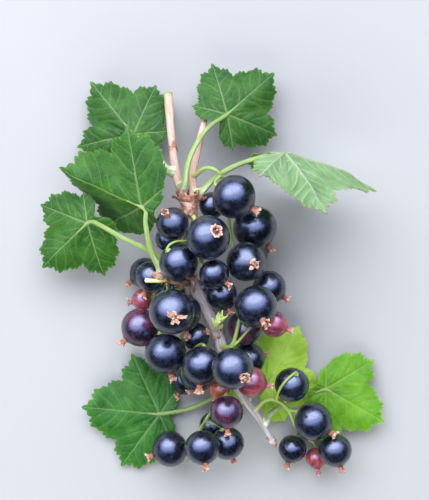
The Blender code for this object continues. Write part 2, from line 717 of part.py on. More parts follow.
def strig_node(name, points, fruit, places, sizes, collection):
    """One strig: its main stalk from the wood, and a short stalk to each of its berries."""
    wood_places, wood_sizes = places["wood"], sizes["wood"]
    start, outward = leave_wood(points, wood_places, wood_sizes, RACHIS_BASE_RADIUS)
    route = smooth_path([start, start + outward * 1.2] + points[1:], RACHIS_STEP)
    everything = np.concatenate([places["berries"], places["wood"], places["stalks"]])
    all_sizes = np.concatenate([sizes["berries"], sizes["wood"], sizes["stalks"]])
    route = thread(route, RACHIS_BASE_RADIUS, everything, all_sizes, 2, 0)
    radii = radii_along(len(route), (RACHIS_BASE_RADIUS, RACHIS_TIP_RADIUS))
    meshes = [tube_mesh("rachis", route, radii, 1)]
    middles, beads = beads_along(route, radii)
    own_places = [middles]
    own_sizes = [beads]
    for middle, radius, faces in fruit:
        end = middle - faces * (radius * BERRY_LENGTH_RATIO + GAP)
        before_end = end - faces * 1.2
        off_route = np.linalg.norm(route[2:] - before_end, axis=1)
        joint = route[2 + int(np.argmin(off_route))]
        path = smooth_path([joint, before_end, end], PEDICEL_STEP)
        path = thread(path, PEDICEL_RADIUS, everything, all_sizes, 1, 2)
        thick = np.full(len(path), PEDICEL_RADIUS)
        meshes.append(tube_mesh("pedicel", path, thick, 1))
        middles, beads = beads_along(path, thick)
        own_places.append(middles)
        own_sizes.append(beads)
    fuse("strig_" + name, meshes, "strig", collection)
    places["stalks"] = np.concatenate([places["stalks"]] + own_places)
    sizes["stalks"] = np.concatenate([sizes["stalks"]] + own_sizes)


def shoot_bud_node(collection):
    """The young green shoot: a narrow bud that stands on the wood."""
    foot = np.array(SHOOT_BUD_FOOT)
    tip = np.array(SHOOT_BUD_TIP)
    shares = (0.0, 0.15, 0.4, 0.7, 1.0)
    widths = (0.55, 0.8, 1.0, 0.7, 0.15)
    path = np.array([foot + (tip - foot) * share for share in shares])
    mesh = tube_mesh("shoot_bud", path, np.array(widths) * SHOOT_BUD_RADIUS, 2)
    add_object("shoot_bud", mesh, "bud", collection)


def build():
    """Clears the scene and models the sprig."""
    for thing in list(bpy.data.objects):
        bpy.data.objects.remove(thing)
    sprig = bpy.data.collections.new("blackcurrant_sprig")
    bpy.context.scene.collection.children.link(sprig)
    wood_places, wood_sizes = wood_node(sprig)
    middles, radii, faces = settle(BERRIES, wood_places, wood_sizes)
    berry_places, berry_sizes = berry_beads(middles, radii, faces)
    count = len(BERRIES)
    for berry, middle, radius, direction in zip(BERRIES, middles, radii, faces):
        mesh = berry_mesh("berry_" + berry.name, middle, radius, direction, berry.rests)
        add_object("berry_" + berry.name, mesh, berry.ripeness, sprig)
    places = {
        "wood": wood_places,
        "berries": berry_places[:2 * count],
        "stalks": np.zeros((0, 3)),
    }
    sizes = {
        "wood": wood_sizes,
        "berries": berry_sizes[:2 * count],
        "stalks": np.zeros(0),
    }
    for name, points in STRIGS.items():
        fruit = [
            (middles[index], radii[index], faces[index])
            for index, berry in enumerate(BERRIES)
            if berry.strig == name
        ]
        strig_node(name, points, fruit, places, sizes, sprig)
    shoot_bud_node(sprig)
    for leaf in LEAVES:
        path, thick = leaf_node(leaf, places, sizes, sprig)
        stalk_places, stalk_sizes = beads_along(path, thick)
        places["stalks"] = np.concatenate([places["stalks"], stalk_places])
        sizes["stalks"] = np.concatenate([sizes["stalks"], stalk_sizes])


build()
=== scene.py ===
"""The looks of a blackcurrant sprig laid down as picked: skins, dried flowers, stalks, leaves and bark.

Lengths are metres, unless a name ends in _mm or a docstring says millimetres. +X is to the right of
the picture, +Y is up the picture, towards the cut end of the twig, and +Z is up from the surface that
the sprig lies on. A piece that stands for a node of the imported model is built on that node's own
place and size.
"""

import functools
import heapq
import json
import logging
import math
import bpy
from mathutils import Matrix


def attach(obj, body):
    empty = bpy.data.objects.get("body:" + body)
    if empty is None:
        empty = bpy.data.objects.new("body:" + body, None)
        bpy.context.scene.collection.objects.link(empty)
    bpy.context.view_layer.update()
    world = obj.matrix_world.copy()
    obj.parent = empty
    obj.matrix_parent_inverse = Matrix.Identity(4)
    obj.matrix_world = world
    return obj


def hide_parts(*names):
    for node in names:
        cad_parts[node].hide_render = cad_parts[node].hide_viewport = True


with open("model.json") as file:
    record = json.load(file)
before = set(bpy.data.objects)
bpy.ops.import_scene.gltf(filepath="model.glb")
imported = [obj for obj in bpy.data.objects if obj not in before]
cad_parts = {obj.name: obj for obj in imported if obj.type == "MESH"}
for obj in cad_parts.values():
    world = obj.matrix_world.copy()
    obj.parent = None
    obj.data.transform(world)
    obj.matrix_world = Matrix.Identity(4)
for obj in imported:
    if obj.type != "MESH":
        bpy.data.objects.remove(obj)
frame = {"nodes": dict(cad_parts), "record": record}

import zlib
from collections.abc import Callable, Sequence
from dataclasses import dataclass, field
from enum import Enum

import bpy
import numpy as np
from mathutils import Vector
from mathutils.bvhtree import BVHTree

MM = 0.001
FULL_TURN = 2.0 * math.pi
GOLDEN_TURN = 2.399963
UP = np.array([0.0, 0.0, 1.0])
BODY = "root"

Array = np.ndarray
Triple = tuple[float, float, float]
Adder = Callable[..., bpy.types.NodeSocket]

log = logging.getLogger("sprig")


def linear(code: str) -> tuple[float, float, float, float]:
    """Turns a colour into the linear values that a shader takes.

    Args:
        code: The sRGB colour, such as "#3a1f33".

    Returns:
        Red, green, blue and alpha.
    """
    parts = [int(code[place:place + 2], 16) / 255.0 for place in (1, 3, 5)]
    red, green, blue = (
        part / 12.92 if part <= 0.04045 else ((part + 0.055) / 1.055) ** 2.4 for part in parts
    )
    return red, green, blue, 1.0


def per_mm(size_mm: float) -> float:
    """The scale that makes one cell of a texture as wide as the given size."""
    return 1.0 / (size_mm * MM)


def draws(name: str) -> np.random.Generator:
    """Random draws that are the same each run for the same name."""
    return np.random.default_rng(zlib.crc32(name.encode()))


def unit(vector: Array) -> Array:
    """A copy of the vector, or of each row of vectors, with length 1."""
    array = np.asarray(vector, dtype=float)
    return array / np.maximum(np.linalg.norm(array, axis=-1, keepdims=True), 1e-12)


def crosswise(along: Array) -> tuple[Array, Array]:
    """Two directions square to the given one and to each other, the first of them level."""
    side = unit(np.cross(along, UP))
    return side, np.cross(side, along)


def outward(side: Array, over: Array, turn: float) -> Array:
    """The direction at an angle between two that are square to each other."""
    return side * math.cos(turn) + over * math.sin(turn)


def turns(count: int) -> Array:
    """Even angles all the way round."""
    return np.linspace(0.0, FULL_TURN, count, endpoint=False)


def around(ring: Array, turn: Array, height: Array) -> Array:
    """Points round an axis, by how far out they are, their angle and their height."""
    return np.stack(np.broadcast_arrays(ring * np.cos(turn), ring * np.sin(turn), height), axis=-1)


def in_frame(local: Array, middle: Array, side: Array, over: Array, along: Array) -> Array:
    """Points given by three directions that start from a middle, in the frame of the sprig."""
    return middle + local[..., :1] * side + local[..., 1:2] * over + local[..., 2:] * along


def spread(count: int, values: Sequence[float], stations: Sequence[float] = ()) -> Array:
    """Numbers that run through the given ones, which stand at stations from 0 to 1, or else evenly."""
    given = stations or np.linspace(0.0, 1.0, len(values))
    return np.interp(np.linspace(0.0, 1.0, count), given, values)


def smooth_step(low: float, high: float, values: Array) -> Array:
    """0 at low, 1 at high, and an even S between them."""
    share = np.clip((values - low) / (high - low), 0.0, 1.0)
    return share * share * (3.0 - 2.0 * share)


def ripple(points: Array, wavelength: float, name: str, waves: int = 7) -> Array:
    """Smooth unevenness over points, from a few sine waves in drawn directions.

    Args:
        points: The places, whose last direction counts their axes.
        wavelength: The typical distance from crest to crest.
        name: What the draws are seeded with.
        waves: How many sine waves are summed.

    Returns:
        One number for each point, mostly from -1 to 1.
    """
    rng = draws(name)
    ways = unit(rng.normal(size=(waves, 3)))
    lengths = wavelength * rng.uniform(0.7, 1.5, waves)
    starts = rng.uniform(0.0, FULL_TURN, waves)
    rows = points.reshape(-1, 3) @ (ways / lengths[:, None]).T * FULL_TURN + starts
    return (np.sin(rows).sum(axis=-1) / math.sqrt(waves)).reshape(points.shape[:-1])


def lengths_along(path: Array) -> Array:
    """How far along a path each of its points lies."""
    return np.concatenate([[0.0], np.cumsum(np.linalg.norm(np.diff(path, axis=0), axis=1))])


def resample(path: Array, step: float) -> Array:
    """The same path with points about a step apart."""
    far = lengths_along(path)
    wanted = np.linspace(0.0, far[-1], max(3, int(round(far[-1] / step)) + 1))
    return np.column_stack([np.interp(wanted, far, path[:, axis]) for axis in range(3)])


def relax(path: Array, rounds: int) -> Array:
    """The path with its kinks eased, and its first and last points held."""
    eased = path.copy()
    for _ in range(rounds):
        eased[1:-1] = 0.25 * eased[:-2] + 0.5 * eased[1:-1] + 0.25 * eased[2:]
    return eased


def catmull_rom(points: Sequence[Triple], step: float) -> Array:
    """Points on the Catmull-Rom curve through the given ones.

    Args:
        points: The places that the curve runs through.
        step: The distance between the points made, about.

    Returns:
        The points as rows of three.
    """
    knots = [np.array(point, dtype=float) for point in points]
    knots = [2.0 * knots[0] - knots[1], *knots, 2.0 * knots[-1] - knots[-2]]
    rows = [knots[1][None, :]]
    for before, start, end, after in zip(knots[:-3], knots[1:-2], knots[2:-1], knots[3:]):
        pieces = max(1, round(float(np.linalg.norm(end - start)) / step))
        t = (np.arange(1, pieces + 1) / pieces)[:, None]
        rows.append(0.5 * (
            2.0 * start
            + (end - before) * t
            + (2.0 * before - 5.0 * start + 4.0 * end - after) * t ** 2
            + (3.0 * start - before - 3.0 * end + after) * t ** 3
        ))
    return np.concatenate(rows)


def nearest_to(places: Array, place: Array) -> tuple[int, float]:
    """Which of the places is nearest to a given one, and how far off it is."""
    off = np.linalg.norm(places - place, axis=1)
    return int(off.argmin()), float(off.min())


def nearest_rows(places: Array, line: Array) -> Array:
    """The number of the line's point that is nearest to each place, found in blocks to save memory."""
    found = np.zeros(len(places), dtype=int)
    for block in np.array_split(np.arange(len(places)), max(1, len(places) * len(line) // 2_000_000)):
        away = ((places[block, None, :] - line[None, :, :]) ** 2).sum(axis=2)
        found[block] = away.argmin(axis=1)
    return found


def into_wood(wood: BVHTree, place: Array, sink_mm: float) -> Array:
    """The place that a stalk starts from, under the bark that is nearest to a place."""
    bark = np.array(wood.find_nearest(Vector(place))[0])
    return bark + unit(bark - place) * sink_mm * MM


def read_rows(
    members: bpy.types.bpy_prop_collection, what: str, columns: int = 3, kind: type = float,
) -> Array:
    """A property of each member of a mesh's vertices, normals or edges, as rows."""
    values = np.zeros(columns * len(members), dtype=kind)
    members.foreach_get(what, values)
    return values.reshape(-1, columns)


def put(name: str, data: bpy.types.ID) -> bpy.types.Object:
    """Makes an object of the data and puts it into the scene."""
    thing = bpy.data.objects.new(name, data)
    bpy.context.scene.collection.objects.link(thing)
    return thing


def mark_mesh(mesh: bpy.types.Mesh, **marks: Array) -> None:
    """Writes numbers, or rows of three, one for each vertex, which a material reads by their names."""
    for mark, values in marks.items():
        wide = values.ndim == 2
        made = mesh.attributes.new(mark, "FLOAT_VECTOR" if wide else "FLOAT", "POINT")
        made.data.foreach_set("vector" if wide else "value", values.astype(np.float32).ravel())


def settle_piece(thing: bpy.types.Object, slot: str, *nodes: str) -> None:
    """Lets a piece ride on the sprig, in place of its nodes."""
    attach(thing, BODY)
    if nodes:
        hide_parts(*nodes)
    log.info("%s: %d faces", thing.name, len(thing.data.polygons))


class Graph:
    """A new material's node tree, with its Principled shader.

    SOCKETS are the inputs that add fills in turn, for the kinds where they aren't simply the first
    ones, OUTPUTS the outputs that it gives where that isn't the first, and SETTINGS what it sets. A
    mix of colours has its factor, its two colours and its result at 0, 6, 7 and 2.
    """

    SOCKETS = {
        "TexNoise": ("Vector", "Scale", "Detail", "Roughness", "Distortion"),
        "TexVoronoi": ("Vector", "Scale", "Randomness"),
        "MapRange": ("Value", "From Min", "From Max", "To Min", "To Max"),
        "Bump": ("Height", "Strength", "Distance"),
        "Mix": (0, 6, 7),
    }
    OUTPUTS = {"TexCoord": "Object", "Attribute": "Fac", "Mix": 2}
    SETTINGS = {"Mix": {"data_type": "RGBA"}}

    def __init__(self, name: str) -> None:
        """Makes the material with the given name."""
        self.material = bpy.data.materials.new(name)
        self.material.use_nodes = True
        self.tree = self.material.node_tree

    def feed(self, node: bpy.types.Node, inputs: dict) -> None:
        """Sets or links a node's inputs.

        Args:
            node: The node that takes them.
            inputs: A value, an sRGB colour or another node's output, by the socket's name or number.
        """
        for socket, value in inputs.items():
            if isinstance(value, bpy.types.NodeSocket):
                self.tree.links.new(value, node.inputs[socket])
            else:
                node.inputs[socket].default_value = linear(value) if isinstance(value, str) else value

    def add(
        self, kind: str, *values: object, out: str | None = None, **settings: object,
    ) -> bpy.types.NodeSocket:
        """Adds a node with its settings and links.

        Args:
            kind: The node's type, without the words ShaderNode.
            *values: What goes into its usual inputs in turn, as feed takes it.
            out: The name of the output that is wanted, if it isn't the usual one.
            **settings: The node's own properties, and stops for a colour ramp.

        Returns:
            That output.
        """
        node = self.tree.nodes.new("ShaderNode" + kind)
        stops = settings.pop("stops", ())
        for setting, value in {**self.SETTINGS.get(kind, {}), **settings}.items():
            setattr(node, setting, value)
        for _ in stops[2:]:
            node.color_ramp.elements.new(0.5)
        for number, (place, colour) in enumerate(stops):
            node.color_ramp.elements[number].position = place
            node.color_ramp.elements[number].color = linear(colour)
        self.feed(node, dict(zip(self.SOCKETS.get(kind, range(len(values))), values)))
        return node.outputs[out or self.OUTPUTS.get(kind, 0)]


class Finish:
    """The finish of some pieces, whose material is made once."""

    @functools.cache
    def material(self) -> bpy.types.Material:
        """The material, made the first time that it is asked for."""
        graph = Graph(self.name)
        graph.feed(graph.tree.nodes["Principled BSDF"], self.inputs(graph.add))
        return graph.material


class Draft:
    """The surfaces of one piece while it is being made, each with its finish and its marks.

    Nothing goes under the surface that the sprig lies on.
    """

    def __init__(self) -> None:
        """Starts with nothing in it."""
        self.places: list[Array] = []
        self.faces: list[tuple[int, ...]] = []
        self.finishes: list[int] = []
        self.marks: dict[str, list[tuple[int, Array]]] = {}
        self.count = 0

    def join(self, faces: list, finish: int = 0, first: int = 0) -> None:
        """Adds faces between vertices that are there, whose numbers are counted from first."""
        self.faces.extend(tuple(number + first for number in face) for face in faces)
        self.finishes.extend([finish] * len(faces))

    def add(self, places: Array, faces: list, finish: int = 0, **marks: Array) -> None:
        """Adds a surface.

        Args:
            places: Its vertices, whose last direction counts their axes.
            faces: Its faces, as numbers of those vertices.
            finish: Which of the piece's materials it has.
            **marks: One number, or a row of three, for each vertex, which its material reads.
        """
        places = places.reshape(-1, 3)
        for mark, values in marks.items():
            self.marks.setdefault(mark, []).append((self.count, values))
        self.join(faces, finish, self.count)
        self.places.append(places)
        self.count += len(places)

    def piece(self, name: str, *materials: bpy.types.Material) -> bpy.types.Object:
        """Makes the object, shaded smooth, and puts it into the scene.

        Args:
            name: The piece's name.
            *materials: Its materials, in the order that finish counts them.

        Returns:
            The object.
        """
        mesh = bpy.data.meshes.new(name)
        places = np.concatenate(self.places)
        places[:, 2] = np.maximum(places[:, 2], 0.0)
        mesh.from_pydata(places.tolist(), [], self.faces)
        for material in materials:
            mesh.materials.append(material)
        mesh.polygons.foreach_set("material_index", self.finishes)
        for mark, runs in self.marks.items():
            values = np.zeros((self.count, *runs[0][1].shape[1:]))
            for start, run in runs:
                values[start:start + len(run)] = run
            mark_mesh(mesh, **{mark: values})
        mesh.shade_smooth()
        mesh.update()
        return put(name, mesh)


def grid_faces(rows: int, columns: int, wraps: bool = True) -> list[list[int]]:
    """The quads of a grid of points that is stored row by row.

    Args:
        rows: How many rows it has.
        columns: How many points a row has.
        wraps: Whether the last column joins the first.

    Returns:
        The faces.
    """
    first = np.arange(rows - 1)[:, None] * columns
    column = np.arange(columns if wraps else columns - 1)[None, :]
    following = (column + 1) % columns
    corners = (first + column, first + following, first + columns + following, first + columns + column)
    return np.stack([corner.ravel() for corner in corners], axis=1).tolist()


def shell(upper: Array, lower: Array) -> tuple[Array, list]:
    """Closes two grids of points, one over the other, into a thin solid.

    Args:
        upper: The upper grid, by row, column and axis.
        lower: The lower grid, alike.

    Returns:
        The vertices and the faces.
    """
    rows, columns = upper.shape[:2]
    half = rows * columns
    top = grid_faces(rows, columns, False)
    faces = top + [[half + number for number in reversed(face)] for face in top]
    numbers = np.arange(half).reshape(rows, columns)
    rim = np.concatenate([numbers[0, :], numbers[1:, -1], numbers[-1, -2::-1], numbers[-2:0:-1, 0]])
    for start, end in zip(rim.tolist(), np.roll(rim, -1).tolist()):
        faces.append([end, start, start + half, end + half])
    return np.concatenate([upper.reshape(-1, 3), lower.reshape(-1, 3)]), faces


@dataclass
class Tube:
    """A round or grooved stalk along a path, closed at both ends.

    The groove is how deep it is on top, and flat how thick the stalk is beside its width.
    """

    path: Array
    radii: Array
    sides: int = 16
    groove: float = 0.0
    flat: float = 1.0
    caps: tuple[float, ...] = (0.75, 0.4, 0.0)
    grain_stretch: float = 0.12

    def frames(self) -> tuple[Array, Array, Array]:
        """The path's direction, and two directions square to it that don't twist, at each point."""
        along = unit(np.gradient(self.path, axis=0))
        first = UP - along[0] * along[0, 2]
        if np.linalg.norm(first) < 0.1:
            first = np.array([0.0, 1.0, 0.0]) - along[0] * along[0, 1]
        over = np.zeros_like(along)
        over[0] = unit(first)
        for row in range(1, len(along)):
            over[row] = unit(over[row - 1] - along[row] * np.dot(over[row - 1], along[row]))
        return along, over, np.cross(along, over)

    def _end(self, row: int, along: Array, ring: Array) -> Array:
        """The rings that close an end, from the widest to the point, in the direction given."""
        radius = self.radii[row]
        return np.array([
            self.path[row] + along * radius * 0.5 * (1.0 - cap) + ring[row] * radius * cap
            for cap in self.caps
        ])

    def build(self) -> tuple[Array, list, Array, Array]:
        """Makes the surface.

        Returns:
            The vertices, the faces, each vertex's distance along the path, and its own grain place,
            in which the stalk is straight and the pattern along it is drawn out.
        """
        along, over, side = self.frames()
        turn = turns(self.sides)
        cosine, sine = np.cos(turn), np.sin(turn)
        shape = 1.0 - self.groove * np.maximum(cosine, 0.0) ** 6
        ring = (
            over[:, None, :] * (cosine * shape)[None, :, None] * self.flat
            + side[:, None, :] * (sine * shape)[None, :, None]
        )
        rows = self.path[:, None, :] + ring * self.radii[:, None, None]
        head, tail = self._end(0, -along[0], ring)[::-1], self._end(-1, along[-1], ring)
        places = np.concatenate([head, rows, tail])
        far, radii = (np.pad(run, len(self.caps), "edge") for run in (lengths_along(self.path), self.radii))
        grain = around(radii[:, None], turn, far[:, None] * self.grain_stretch)
        return (
            places.reshape(-1, 3), grid_faces(len(places), self.sides), np.repeat(far, self.sides),
            grain.reshape(-1, 3),
        )


@dataclass
class Strip:
    """A thin curved strip, such as a sepal, a bud scale or a flake of bark, in millimetres.

    It starts at its root and goes up its own axis, leaning outwards by lean degrees, and by curl
    degrees more at its tip. The cup is how far it is hollowed across, crumple how far it wanders,
    and crease how wide its crumples are.
    """

    length: float
    width: float
    lean: float
    curl: float
    cup: float
    root_width: float = 0.6
    tip_power: float = 0.7
    thickness: float = 0.14
    crumple: float = 0.0
    crease: float = 1.1
    rows: int = 9
    columns: int = 7

    def build(
        self, root: Array, out: Array, up: Array, name: str, yaw: float = 0.0,
    ) -> tuple[Array, list, Array]:
        """Makes the strip at its place.

        Args:
            root: Where it starts, in metres.
            out: The direction that it leans towards.
            up: The direction that it goes up, square to out.
            name: What the draws for its crumples are seeded with.
            yaw: How far it is turned about up, in degrees.

        Returns:
            The vertices, the faces, and how far each vertex is towards the tip, from 0 to 1.
        """
        out = outward(out, np.cross(up, out), math.radians(yaw))
        share = np.linspace(0.0, 1.0, self.rows)
        angle = np.radians(self.lean + self.curl * share ** 1.3)
        step = self.length / (self.rows - 1)
        reach, height = (
            np.concatenate([[0.0], np.cumsum(part(angle[:-1]) * step)])[:, None] for part in (np.sin, np.cos)
        )
        profile = self.root_width + (1.0 - self.root_width) * np.sin(math.pi * np.minimum(share * 1.1, 0.5))
        profile = profile * np.clip(1.0 - share ** 3.0, 0.0, 1.0) ** self.tip_power
        half = 0.5 * self.width * np.maximum(profile, 0.03)[:, None]
        across = np.linspace(-1.0, 1.0, self.columns)
        side = np.cross(up, out)
        face = (np.cos(angle)[:, None] * out - np.sin(angle)[:, None] * up)[:, None, :]
        sheet = (
            (reach * out + height * up)[:, None, :]
            + side * (half * across)[..., None]
            - face * (self.cup * half * across ** 2)[..., None]
        )
        if self.crumple:
            bend, skew = ripple(sheet, self.crease, name), ripple(sheet, self.crease, name + "skew")
            amount = self.crumple * share[:, None]
            sheet = sheet + face * (bend * amount)[..., None]
            sheet = sheet + side * (skew * 0.6 * amount)[..., None]
        skin = face * self.thickness * 0.5
        places, faces = shell(root + (sheet + skin) * MM, root + (sheet - skin) * MM)
        return places, faces, np.tile(np.repeat(share, self.columns), 2)


def strip_grain(places: Array, tip: Array) -> Array:
    """A strip's own grain, in which the pattern along it is drawn out."""
    return np.stack([tip * 0.4 * MM, places[:, 0], places[:, 2]], axis=1)


def fuse(thing: bpy.types.Object, voxel: float, rounds: int) -> Array:
    """Joins the tubes of a piece into one skin and eases its seams.

    Args:
        thing: The object, whose mesh is changed.
        voxel: The size of the skin's faces.
        rounds: How often the skin is smoothed.

    Returns:
        The new vertices, as rows of three.
    """
    join = thing.modifiers.new("Join", "REMESH")
    join.mode = "VOXEL"
    join.voxel_size = voxel
    join.adaptivity = 0.0
    ease = thing.modifiers.new("Ease", "SMOOTH")
    ease.factor = 0.5
    ease.iterations = rounds
    joined = bpy.data.meshes.new_from_object(thing.evaluated_get(bpy.context.evaluated_depsgraph_get()))
    thing.modifiers.clear()
    old = thing.data
    joined.materials.clear()
    for material in old.materials:
        joined.materials.append(material)
    thing.data = joined
    joined.name = thing.name
    bpy.data.meshes.remove(old)
    joined.shade_smooth()
    return read_rows(joined.vertices, "co")


class FusedTubes:
    """Tubes joined into one skin, and for each of its vertices the nearest point of their lines."""

    def __init__(
        self, name: str, material: bpy.types.Material, tubes: list, sides: int, voxel_mm: float, rounds: int,
    ) -> None:
        """Makes the skin.

        Args:
            name: The piece's name.
            material: Its material.
            tubes: The tubes, each as a path and its radii.
            sides: How many sides each tube has before they are joined.
            voxel_mm: The size of the skin's faces.
            rounds: How often the skin is smoothed.
        """
        draft = Draft()
        for path, radii in tubes:
            draft.add(*Tube(path, radii, sides).build()[:2])
        self.thing = draft.piece(name, material)
        self.places = fuse(self.thing, voxel_mm * MM, rounds)
        line = np.concatenate([path for path, _ in tubes])
        nearest = nearest_rows(self.places, line)
        self.off = self.places - line[nearest]
        self.far = np.concatenate([lengths_along(path) for path, _ in tubes])[nearest]
        self.radii = np.concatenate([radii for _, radii in tubes])[nearest]
        self.numbers = np.repeat(np.arange(len(tubes)), [len(path) for path, _ in tubes])[nearest]

    def grain(self, stretch: float) -> Array:
        """Each vertex's own grain place, in which the pattern along the tubes is drawn out."""
        return self.off + self.far[:, None] * stretch


class StalkLines:
    """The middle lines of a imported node's stalks, found on a fine copy of its surface.

    A new line starts from one that is there where it comes within JOINS of it. A stretch farther
    than CLEAR from every line has none yet.
    """

    VOXEL = 0.22 * MM
    THICKEST = 1.0 * MM
    STEP = 0.8 * MM
    JOINS = 0.45 * MM
    CLEAR = 1.3 * MM
    SINK_MM = 0.02

    def __init__(self, node: str, foot: Triple) -> None:
        """Reads the node.

        Args:
            node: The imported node's name.
            foot: Near where its stalk leaves the wood, in millimetres.
        """
        thing = put("lines", frame["nodes"][node].data.copy())
        self.places = fuse(thing, self.VOXEL, 0)
        mesh = thing.data
        edges = read_rows(mesh.edges, "vertices", 2, int)
        tree = BVHTree.FromObject(thing, bpy.context.evaluated_depsgraph_get())
        self.middles = self._middles(read_rows(mesh.vertex_normals, "vector"), tree)
        bpy.data.objects.remove(thing)
        bpy.data.meshes.remove(mesh)
        lengths = np.linalg.norm(self.places[edges[:, 0]] - self.places[edges[:, 1]], axis=1)
        self.ways: list[list[tuple[int, float]]] = [[] for _ in self.places]
        for (one, other), length in zip(edges.tolist(), lengths.tolist()):
            self.ways[one].append((other, length))
            self.ways[other].append((one, length))
        self.walked, self.parents = self._walk(nearest_to(self.places, np.array(foot) * MM)[0])
        self.lines: list[Array] = []

    def _middles(self, normals: Array, tree: BVHTree) -> Array:
        """For each vertex, the point half way through the stalk under it."""
        middles = self.places.copy()
        for number, (place, normal) in enumerate(zip(self.places, normals)):
            inwards = Vector(-normal)
            start = Vector(place) + inwards * self.SINK_MM * MM
            distance = tree.ray_cast(start, inwards, 4.0 * self.THICKEST)[3]
            half = self.THICKEST if distance is None else min(0.5 * distance, self.THICKEST)
            middles[number] = place - normal * half
        return middles

    def _walk(self, start: int) -> tuple[Array, Array]:
        """The shortest way over the surface from one vertex to every other."""
        walked = np.full(len(self.places), np.inf)
        parents = np.full(len(self.places), -1)
        walked[start] = 0.0
        queue = [(0.0, start)]
        while queue:
            far, here = heapq.heappop(queue)
            if far > walked[here]:
                continue
            for there, length in self.ways[here]:
                if far + length < walked[there]:
                    walked[there] = far + length
                    parents[there] = here
                    heapq.heappush(queue, (far + length, there))
        return walked, parents

    def line_to(self, end: Array, rounds: int = 8) -> Array:
        """The line of the stalk that ends nearest a point, from the stalk that it grows from.

        Args:
            end: Where it ends, in metres.
            rounds: How often its kinks are eased.

        Returns:
            Its points, which start on a line that is already there, or else at the foot.
        """
        rows = []
        vertex = nearest_to(self.places, end)[0]
        while vertex >= 0:
            rows.append(self.middles[vertex])
            vertex = int(self.parents[vertex])
        way = np.array(rows)
        way[0] = end
        if self.lines:
            known = np.concatenate(self.lines)
            near = np.flatnonzero([nearest_to(known, place)[1] < self.JOINS for place in way])
            if len(near):
                way = way[:near[0] + 1]
                way[-1] = known[nearest_to(known, way[-1])[0]]
        line = relax(resample(relax(way[::-1], 2), self.STEP), rounds)
        self.lines.append(line)
        return line

    def stub(self) -> Array | None:
        """The end of the longest stretch that no line follows yet, or None."""
        known = np.concatenate(self.lines)
        off = np.linalg.norm(self.middles - known[nearest_rows(self.middles, known)], axis=1)
        loose = np.isfinite(self.walked) & (off > self.CLEAR)
        if not loose.any():
            return None
        return self.middles[int(np.argmax(np.where(loose, self.walked, -1.0)))]


class Ripeness(Enum):
    """How ripe a currant is, by the material slot of its node."""

    RIPE = "ripe_berry"
    PURPLE = "purple_berry"
    RED = "red_berry"
    ORANGE = "orange_berry"


@dataclass(frozen=True)
class SkinFinish(Finish):
    """The skin of a currant: a smooth, tight fruit skin with a thin coat of its own wax.

    The ground is near black or red, and the wax lies over it as a thin bluish film, with pale specks
    where it is thick; the specks are also painted glints, where light would catch small pores. The
    skin's own gloss is tinted by the wax, and the clear coat adds a softer one.
    Fruit skin has an IOR of about 1.45, and 1.55 is used for it with its wax. The colours are kept
    dark for the strong lamps.
    """

    name: str
    deep: str
    flush: str
    wax: str
    wax_share: float
    vein: str
    vein_share: float
    speck_and_glint: str
    roughness: float
    glow: float
    sheen: str = "#c4d0f0"
    scar: str = "#2f1b17"
    patch_mm: float = 5.0
    wax_mm: float = 2.6
    rub_mm: float = 0.9
    speck_and_glint_mm: float = 1.0
    speck_and_glint_patch_mm: float = 3.0
    pore_mm: float = 0.35
    relief_mm: float = 0.06

    def inputs(self, add: Adder) -> dict:
        """What the shader takes. The specks are drawn twice their real size, so that they show."""
        place = add("TexCoord")
        patch = add("TexNoise", place, per_mm(self.patch_mm), 3.0, 0.5)
        patch = add("MapRange", patch, 0.38, 0.64)
        ground = add("Mix", patch, self.deep, self.flush)
        lines = add("Attribute", attribute_name="meridian")
        lines = add("Math", lines, self.vein_share, operation="MULTIPLY")
        veined = add("Mix", lines, ground, self.vein)
        film = add("TexNoise", place, per_mm(self.wax_mm), 7.0, 0.66, 0.8)
        wax = add("MapRange", film, 0.40, 0.70, 0.0, self.wax_share)
        waxed = add("Mix", wax, veined, self.wax)
        # The pale specks: partly the wax's own, partly painted glints where light catches small pores.
        dots = add("TexVoronoi", place, per_mm(self.speck_and_glint_mm))
        dots = add("MapRange", dots, 0.18, 0.08)
        some = add("TexNoise", place, per_mm(self.speck_and_glint_patch_mm))
        some = add("MapRange", some, 0.46, 0.66, 0.0, 0.45)
        specks_and_glints = add("Math", dots, some, operation="MULTIPLY")
        specked_and_glinted = add("Mix", specks_and_glints, waxed, self.speck_and_glint)
        scar = add("Attribute", attribute_name="scar")
        rub = add("TexNoise", place, per_mm(self.rub_mm), 4.0, 0.6)
        rub = add("Math", rub, film, operation="ADD")
        rough = add("MapRange", rub, 0.75, 1.25, self.roughness - 0.13, self.roughness + 0.17)
        pores = add("TexNoise", place, per_mm(self.pore_mm), 3.0)
        height = add("Math", film, 4.0, pores, operation="MULTIPLY_ADD")
        return {
            "Base Color": add("Mix", scar, specked_and_glinted, self.scar),
            "Roughness": add("Math", rough, scar, operation="ADD", use_clamp=True),
            "Normal": add("Bump", height, 0.30, self.relief_mm * MM),
            "IOR": 1.55, "Specular IOR Level": 0.72, "Specular Tint": self.sheen,
            "Coat Weight": 0.7, "Coat Roughness": 0.25, "Coat IOR": 1.55,
            "Subsurface Weight": self.glow, "Subsurface Radius": (1.0, 0.35, 0.2),
            "Subsurface Scale": 1.6 * MM,
        }


SKINS = {
    Ripeness.RIPE: SkinFinish(
        "currant_skin_ripe", "#020305", "#05070b", "#465c92", 0.09, "#0c1018", 0.10, "#8c9cc8", 0.28, 0.0,
    ),
    Ripeness.PURPLE: SkinFinish(
        "currant_skin_purple", "#09040b", "#4c1225", "#5a5c96", 0.12, "#6a2440", 0.22, "#a494b4", 0.30, 0.04,
    ),
    Ripeness.RED: SkinFinish(
        "currant_skin_red", "#500c1b", "#9a3823", "#a47ca8", 0.20, "#d47c68", 0.5, "#d4b0b0", 0.36, 0.16,
        "#e4d0ff",
    ),
    Ripeness.ORANGE: SkinFinish(
        "currant_skin_orange", "#8f3a17", "#a85222", "#be8e6b", 0.20, "#c28750", 0.5, "#d0b393", 0.36, 0.30,
        "#fff0e4",
    ),
}


